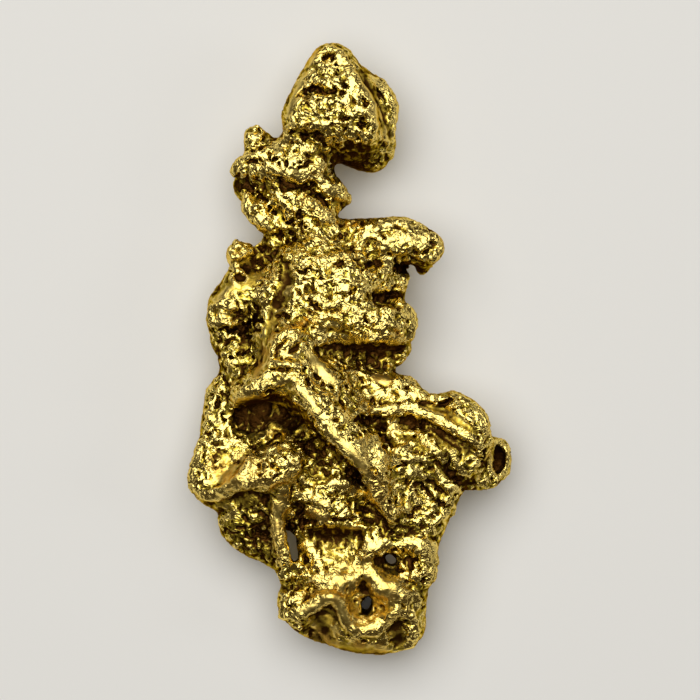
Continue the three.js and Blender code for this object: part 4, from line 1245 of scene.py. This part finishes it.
# %% Which way the surface faces
WRINKLE_BLUR = 0.45  # mm; wide enough to take the wrinkles out

slope = np.gradient(blurred(clay, WRINKLE_BLUR))
steepness = np.sqrt(slope[0] ** 2 + slope[1] ** 2 + slope[2] ** 2 + 1e-9)
upright, toeward = np.abs(slope[2]) / steepness, slope[1] / steepness

# %% Coarse skin
CREST_GAP, CREST_HEIGHT = 0.44, 0.065  # mm
CLEFT_GAP, CLEFT_DEPTH = 0.62, 0.10
PIT_GAP, PIT_DEPTH = 0.55, 0.08
LUMP_GAP, LUMP_HEIGHT = 1.4, 0.04

near, p = cells_near(0.35)
wear, above = on_front(p, worn)
roughness = np.where(above > 0, 1 - 0.8 * wear, 0.75) * (1 - 0.7 * on_front(p, drawn["ridge"])[0])
roughness *= np.clip(0.25 + 1.3 * upright[near], 0, 1)
winding = warped(p, amount=0.14, size=0.5, seed=3)
hackle = 1 - 2.6 * np.abs(noise(winding / CREST_GAP, 11))
clefts = np.clip(1 - np.abs(noise(winding / CLEFT_GAP, 31)) / 0.26, 0, 1)
pits = np.clip((noise(winding / PIT_GAP, 37) - 0.42) / 0.3, 0, 1)
skin_height = roughness * (CREST_HEIGHT * hackle - CLEFT_DEPTH * clefts - PIT_DEPTH * pits)
clay[near] -= skin_height + LUMP_HEIGHT * noise(p / LUMP_GAP, 41)
print("coarse skin drawn through", len(p), "cells")

# %% Fine skin
FINE_GAP, FINE_HEIGHT = 0.27, 0.055  # mm

near, p = cells_near(0.2)
wear, above = on_front(p, worn)
roughness = np.where(above > 0, 1 - 0.8 * wear * wear, 0.7)
winding = warped(p, amount=0.1, size=0.3, seed=21)
clay[near] -= roughness * FINE_HEIGHT * (1 - 2.5 * np.abs(noise(winding / FINE_GAP, 23)))
print("fine skin drawn through", len(p), "cells")

# %% [markdown]
# The holes come last, so that no skin can grow across them. Each is a shaft, cut straight down.

# %% Holes
holes = [
    [(-2.9, -9.35, 0.14), (-2.83, -9.9, 0.17), (-2.75, -10.4, 0.14)],
    [(1.98, -10.4, 0.20), (2.1, -10.55, 0.22)],
    [(0.9, -12.5, 0.14), (0.86, -12.8, 0.22), (0.82, -13.0, 0.16)],
]
for path in holes:
    shaft = -gap_in_plan(path)[:, :, None].astype(np.float32)
    inside = np.nonzero(shaft[:, :, 0] > -0.2)
    block = tuple(slice(n.min(), n.max() + 1) for n in inside)
    depth = np.broadcast_to(shaft[block], clay[block].shape)
    clay[block] = -soft_min(-clay[block], -depth, melt=0.12)
print("holes:", len(holes))

# %% [markdown]
# ## From clay to mesh
#
# The grid is turned back into a mesh where the distance is zero. That gives more faces than a part should
# have, so they are thinned out by Decimate, which merges faces where the surface is nearly flat and keeps
# them where it bends. A crumb that hangs free of the lump, or a bubble sealed inside it, is thrown away.

# %% Mesh
MOST_TRIANGLES = 192000

grid = vdb.FloatGrid(BAND * CELL)
grid.transform = spacing
grid.copyFromArray(clay, ijk=tuple(int(i) for i in first_cell))
vertices, triangles, quads = grid.convertToPolygons(isovalue=0.0, adaptivity=0.0)
vertices[:, 2] = np.maximum(vertices[:, 2], 0)
print("raw mesh:", len(vertices), "vertices", len(quads), "quads", len(triangles), "triangles")

# %% Keep the largest connected piece
group = np.arange(len(vertices))
sides = ([0, 1], [1, 2], [2, 3], [3, 0])
edges = np.concatenate([quads[:, side] for side in sides]).astype(np.int64)
while True:  # every vertex takes the lowest number that its neighbours have, until nothing changes
    lower = np.minimum(group[edges[:, 0]], group[edges[:, 1]])
    before = group.copy()
    np.minimum.at(group, edges[:, 0], lower)
    np.minimum.at(group, edges[:, 1], lower)
    group = group[group]
    if (group == before).all():
        break
kept = group == np.bincount(group).argmax()
quads = quads[kept[quads[:, 0]]]
renumbered = np.cumsum(kept) - 1
print("crumbs and bubbles thrown away:", len(np.unique(group)) - 1)

# %% The nugget itself
mesh = bpy.data.meshes.new("nugget")
mesh.from_pydata((vertices[kept] * MM).tolist(), [], renumbered[quads].tolist())
mesh.validate()
nugget = bpy.data.objects.new("nugget", mesh)
bpy.context.scene.collection.objects.link(nugget)

thin = nugget.modifiers.new("thin", "DECIMATE")
thin.ratio = min(1.0, MOST_TRIANGLES / (2 * len(quads)))
thin.use_collapse_triangulate = True
evaluated = nugget.evaluated_get(bpy.context.evaluated_depsgraph_get())
thinned = bpy.data.meshes.new_from_object(evaluated)
nugget.modifiers.clear()
nugget.data = thinned
for polygon in nugget.data.polygons:
    polygon.use_smooth = True
for vertex in nugget.data.vertices:
    vertex.co.z = max(vertex.co.z, 0)
print("nugget:", len(nugget.data.polygons), "faces")

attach(nugget, "root")
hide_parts("gold_nugget")

# %% [markdown]
# ## How sheltered each point is
#
# Dirt gathers where nothing can rub it away, and shade falls there too. From each point of the skin, rays go
# out in all directions, and the share of them that soon runs into metal tells how sheltered the point is.
# Shelter darkens the colour later, as earth and as painted shade.

# %% The skin's points, and how to read a grid there
def sampled(field, p):
    """The field's value at points given in millimetres, blended between cells."""
    g = p / CELL - first_cell
    i = np.clip(np.floor(g).astype(int), 0, np.array(field.shape) - 2)
    f = (g - i).astype(np.float32)
    total = np.zeros(len(p), np.float32)
    for dx in (0, 1):
        for dy in (0, 1):
            for dz in (0, 1):
                w = (f[:, 0] if dx else 1 - f[:, 0]) * (f[:, 1] if dy else 1 - f[:, 1])
                w = w * (f[:, 2] if dz else 1 - f[:, 2])
                total += w * field[i[:, 0] + dx, i[:, 1] + dy, i[:, 2] + dz]
    return total


skin = np.empty(len(nugget.data.vertices) * 3, np.float32)
nugget.data.vertices.foreach_get("co", skin)
skin = skin.reshape(-1, 3) / np.float32(MM)
normals = np.empty(len(nugget.data.vertices) * 3, np.float32)
nugget.data.vertex_normals.foreach_get("vector", normals)
normals = normals.reshape(-1, 3)

# %% Rays
RAYS = 48
# How far along a ray the metal is, in millimetres, and how much it then shelters.
REACHES = ((0.2, 1.0), (0.35, 1.0), (0.55, 0.95), (0.8, 0.9), (1.1, 0.8), (1.5, 0.65), (2.0, 0.5))

solid = clay < 0
blocked = np.zeros(len(skin), np.float32)
weights = np.zeros(len(skin), np.float32)
for n in range(RAYS):
    up = 1 - (2 * n + 1) / RAYS
    turn = n * math.pi * (3 - math.sqrt(5))  # the golden angle spreads the rays evenly
    ray = np.array([math.cos(turn), math.sin(turn), 0]) * math.sqrt(1 - up * up) + np.array([0, 0, up])
    facing = np.nonzero(normals @ ray > 0.1)[0]
    weight = (normals[facing] @ ray).astype(np.float32)
    hit = np.zeros(len(facing), np.float32)
    for reach, worth in REACHES:
        at = np.rint((skin[facing] + ray * reach) / CELL).astype(np.int32) - first_cell
        at = np.clip(at, 0, np.array(grid_shape) - 1)
        hit = np.maximum(hit, solid[at[:, 0], at[:, 1], at[:, 2]] * np.float32(worth))
    blocked[facing] += weight * hit
    weights[facing] += weight
shelter = blocked / np.maximum(weights, 1e-6)
print("mean shelter:", round(float(shelter.mean()), 3))

# %% [markdown]
# Shelter alone is too coarse, so other causes are added. In a blurred grid a point in a pit ends up inside
# the metal and a point on a crest outside it, which tells pits from crests, and a smaller blur does the same
# for the finest creases; pits and creases are painted darker as shade. Steep flanks are painted darker, and
# so is the side that slopes down to the toe, away from the lamp: both are painted shade. Grooves that were
# drawn above are darker, ridges lighter as a painted highlight, and worn places cleaner. Every cause has a
# weight, and the sum is the *shade* of the point, part earth and part painted shade. It is painted on the
# mesh with the maps of wear and rust.

# %% Pits, flanks, and the sum of it all
PIT_BLUR, CREASE_BLUR = 0.2, 0.1  # mm

pit = -sampled(blurred(clay, PIT_BLUR), skin)
crease = -sampled(blurred(clay, CREASE_BLUR), skin)
# Painted shade: steep flanks, and the slopes that face the toe, away from the lamp.
flank_shade = np.clip((0.8 - sampled(upright, skin)) / 0.5, 0, 1)
toe_side_shade = np.clip(-sampled(toeward, skin), 0, 1)
maps = (worn, earth_and_shade_map, rust, drawn["ridge"], drawn["groove_dirt_and_shade"])
wear, earth_and_shade_here, rusty, ridge, groove_dirt_and_shade = (on_front(skin, plan_map)[0] for plan_map in maps)
# Real earth together with painted shade and painted highlight: each cause darkens or lightens the colour.
causes = [
    (1.0, shelter),
    (3.4, pit),
    (9.0, crease),
    (0.7, earth_and_shade_here),
    (0.6, flank_shade),
    (0.45, toe_side_shade),
    (0.3, groove_dirt_and_shade),
    (-0.35, ridge),
    (-0.15, wear),
]
shade = sum(weight * cause for weight, cause in causes)
for name, values in (("shade", shade), ("worn", wear), ("rust", rusty)):
    layer = nugget.data.attributes.new(name, "FLOAT", "POINT")
    layer.data.foreach_set("value", values.astype(np.float32))
seen = normals[:, 2] > 0.3
spread = np.percentile(shade[seen], (5, 50, 95))
print("shade of what faces up, 5% 50% 95%:", [round(float(v), 2) for v in spread])

# %% [markdown]
# ## Gold
#
# Gold is a metal, so all of its colour is in its reflections: *Metallic* is 1 and the base colour is what the
# metal does to white light. *Specular Tint* is what it does at a glancing angle, and is kept golden too, so
# that the outline does not turn white.

# %% The metal
gold = bpy.data.materials.new("native gold")
gold.use_nodes = True
nodes = gold.node_tree.nodes
links = gold.node_tree.links
shader = nodes["Principled BSDF"]
shader.inputs["Metallic"].default_value = 1.0
shader.inputs["Specular Tint"].default_value = (0.80, 0.55, 0.20, 1)


# %% Small helpers for the nodes
def node(kind, place, **settings):
    """A new node with its settings, at its place in the editor."""
    made = nodes.new(kind)
    made.location = place
    for name, value in settings.items():
        setattr(made, name, value)
    return made


def ramp(value, place, low, high, to_low=0.0, to_high=1.0):
    """Maps low..high of a value to to_low..to_high with soft ends."""
    made = node("ShaderNodeMapRange", place, interpolation_type="SMOOTHSTEP")
    links.new(value, made.inputs["Value"])
    for name, number in zip(("From Min", "From Max", "To Min", "To Max"), (low, high, to_low, to_high)):
        made.inputs[name].default_value = number
    return made.outputs["Result"]


def sums(kind, place, first, second):
    """One arithmetic step on two values, each a number or a socket."""
    made = node("ShaderNodeMath", place, operation=kind)
    for socket, value in zip(made.inputs, (first, second)):
        if isinstance(value, (int, float)):
            socket.default_value = value
        else:
            links.new(value, socket)
    return made.outputs[0]


def tint(share, place, first, second):
    """Mixes two colours, each a tuple or a socket, by share."""
    made = node("ShaderNodeMix", place, data_type="RGBA")
    links.new(share, made.inputs["Factor"])
    for name, colour in (("A", first), ("B", second)):
        socket = [i for i in made.inputs if i.name == name and i.type == "RGBA"][0]
        if isinstance(colour, tuple):
            socket.default_value = (*colour, 1)
        else:
            links.new(colour, socket)
    return [o for o in made.outputs if o.type == "RGBA"][0]


where_it_is = node("ShaderNodeTexCoord", (-1900, 0)).outputs["Object"]


def grain(size, place, detail, warp=0.0):
    """Noise, 0 to 1, with features of about that size in millimetres."""
    made = node("ShaderNodeTexNoise", place)
    links.new(where_it_is, made.inputs["Vector"])
    made.inputs["Scale"].default_value = 1 / (size * MM)
    made.inputs["Detail"].default_value = detail
    made.inputs["Distortion"].default_value = warp
    return made.outputs["Fac"]


def measured(name, place):
    """A value that was painted on the mesh."""
    return node("ShaderNodeAttribute", place, attribute_name=name).outputs["Fac"]


# %% [markdown]
# The more shade, the darker the gold: a clean, slightly green yellow on high places, then olive, then the
# brown of earth. The olive and the brown are partly tarnish and earth and partly painted shade. A film of
# rust makes it orange. The skin is also crumpled more finely than the mesh can hold. That crumple is noise,
# folded at its middle value into thin winding crests, and it is used twice: the ground between the crests is
# painted darker as shade, and a bump sets it lower. It fades out on worn metal, which is smooth but not
# polished: worn places have a satin gloss, and rough ones glitter.

# %% What was painted on the mesh
shade_here = measured("shade", (-1900, 600))
worn_here = measured("worn", (-1900, 800))
rust_here = measured("rust", (-1900, 1200))

# %% Crumple
CRUMPLE_SIZE = 0.34  # mm
AREA_SIZE = 1.1  # mm; from one such area to the next the crumple is deeper or shallower
RUBBED_OFF = 0.75  # the share of the crumple that the strongest wear takes away

crumple = sums("SUBTRACT", (-1300, -300), grain(CRUMPLE_SIZE, (-1500, -300), detail=1.2, warp=1.2), 0.5)
crumple = sums("ABSOLUTE", (-1100, -300), crumple, 0.0)
depth_here = ramp(grain(AREA_SIZE, (-1500, -900), detail=1.0), (-1300, -900), 0.38, 0.60, 0.6, 1.2)
crumple = sums("MULTIPLY", (-1000, -400), crumple, depth_here)
rubbed = sums("MULTIPLY", (-1300, -500), sums("MULTIPLY", (-1500, -500), worn_here, worn_here), RUBBED_OFF)
left_rough = sums("SUBTRACT", (-1100, -500), 1.0, rubbed)
crumple = sums("MULTIPLY", (-900, -300), crumple, left_rough)

# %% Dirt and painted shade
PATCH_SIZE = 0.5  # mm
PATCH_WEIGHT = 0.3  # what patches and crumple add to the shade
CRUMPLE_WEIGHT = 3.0
CRUMPLE_MEAN = 0.30  # taken off again, so that the crumple does not darken the whole

patchy = sums("SUBTRACT", (-1500, 200), grain(PATCH_SIZE, (-1700, 200), detail=3.0), 0.5)
blotched = sums("ADD", (-1100, 600), shade_here, sums("MULTIPLY", (-1300, 300), patchy, PATCH_WEIGHT))
# Painted shade: the ground between the crumple's crests is darkened.
blotched = sums("ADD", (-900, 600), blotched, sums("MULTIPLY", (-1100, 300), crumple, CRUMPLE_WEIGHT))
blotched = sums("SUBTRACT", (-800, 600), blotched, CRUMPLE_MEAN)
dirt_and_shade = ramp(blotched, (-700, 600), 0.25, 1.08, 0.0, 0.99)
tarnish_and_shade = ramp(blotched, (-700, 800), -0.05, 0.40)

# %% Colour
# The olive and the earth brown stand for tarnish and earth, and for painted shade.
bright_gold = (0.95, 0.74, 0.215)
olive_gold_and_shade = (0.56, 0.415, 0.045)
earth_and_shadow_brown = (0.045, 0.016, 0.003)
rusty_gold = (0.66, 0.40, 0.07)

film = sums("MULTIPLY", (-700, 1100), rust_here, ramp(patchy, (-900, 1200), -0.12, 0.12, 0.35, 1.0))
colour = tint(tarnish_and_shade, (-500, 800), bright_gold, olive_gold_and_shade)
colour = tint(film, (-300, 800), colour, rusty_gold)
colour = tint(dirt_and_shade, (-100, 700), colour, earth_and_shadow_brown)
links.new(colour, shader.inputs["Base Color"])

# %% Gloss
CLEAN_ROUGHNESS, DIRTY_ROUGHNESS = 0.15, 0.42
FILM_ROUGHNESS = 0.10  # what a full film of rust adds
SATIN = 0.16  # what full wear adds

roughness_here = ramp(blotched, (-300, 400), 0.0, 0.8, CLEAN_ROUGHNESS, DIRTY_ROUGHNESS)
duller = sums("MULTIPLY", (-300, 200), film, FILM_ROUGHNESS)
roughness_here = sums("ADD", (-100, 400), roughness_here, duller)
duller = sums("MULTIPLY", (-300, 100), worn_here, SATIN)
roughness_here = sums("ADD", (0, 400), roughness_here, duller)
links.new(roughness_here, shader.inputs["Roughness"])

# %% The crumple as a bump
CRUMPLE_DEPTH = 0.125 * MM

bump = node("ShaderNodeBump", (-400, -300))
bump.invert = True
bump.inputs["Strength"].default_value = 1.0
bump.inputs["Distance"].default_value = CRUMPLE_DEPTH
links.new(crumple, bump.inputs["Height"])
links.new(bump.outputs["Normal"], shader.inputs["Normal"])
nugget.data.materials.append(gold)
print("nodes in the metal:", len(nodes))

# %% [markdown]
# ## Floor and light
#
# A mirror-like thing shows its surroundings more than itself. One wide soft lamp above the crown makes every
# face that looks up or towards the crown bright, and leaves the faces that look away dark, so the folds read
# clearly. A small lamp on the right draws a thin line of light down that side. The rest of the room is dim
# and warm, so that dark faces turn brown and not grey. The floor is plain pale paper.

# %% Floor
floor_mesh = bpy.data.meshes.new("floor")
far = 1.0  # metres from the middle to each side
floor_mesh.from_pydata([(-far, -far, 0), (far, -far, 0), (far, far, 0), (-far, far, 0)], [], [(0, 1, 2, 3)])
floor = bpy.data.objects.new("floor", floor_mesh)
bpy.context.scene.collection.objects.link(floor)
paper = bpy.data.materials.new("pale paper")
paper.use_nodes = True
paper_shader = paper.node_tree.nodes["Principled BSDF"]
paper_shader.inputs["Base Color"].default_value = (0.78, 0.77, 0.75, 1)
paper_shader.inputs["Roughness"].default_value = 0.9
floor.data.materials.append(paper)

# %% Light
world = bpy.data.worlds.new("studio")
world.use_nodes = True
room = world.node_tree.nodes["Background"]
room.inputs["Color"].default_value = (1.0, 0.75, 0.38, 1)
room.inputs["Strength"].default_value = 0.05
bpy.context.scene.world = world


def lamp(name, place, size, watts, colour=(1, 1, 1)):
    """A round soft lamp of that size in metres, aimed at the nugget."""
    data = bpy.data.lights.new(name, "AREA")
    data.shape = "DISK"
    data.size = size
    data.energy = watts
    data.color = colour
    light = bpy.data.objects.new(name, data)
    light.location = place
    toward = -light.location.normalized()
    light.rotation_euler = toward.to_track_quat("-Z", "Y").to_euler()
    bpy.context.scene.collection.objects.link(light)


lamp("key", place=(-0.04, 0.10, 0.33), size=0.46, watts=1.55, colour=(1.0, 1.0, 0.98))
lamp("side", place=(0.26, 0.0, 0.16), size=0.10, watts=0.05)
bpy.context.scene.view_settings.view_transform = "Standard"
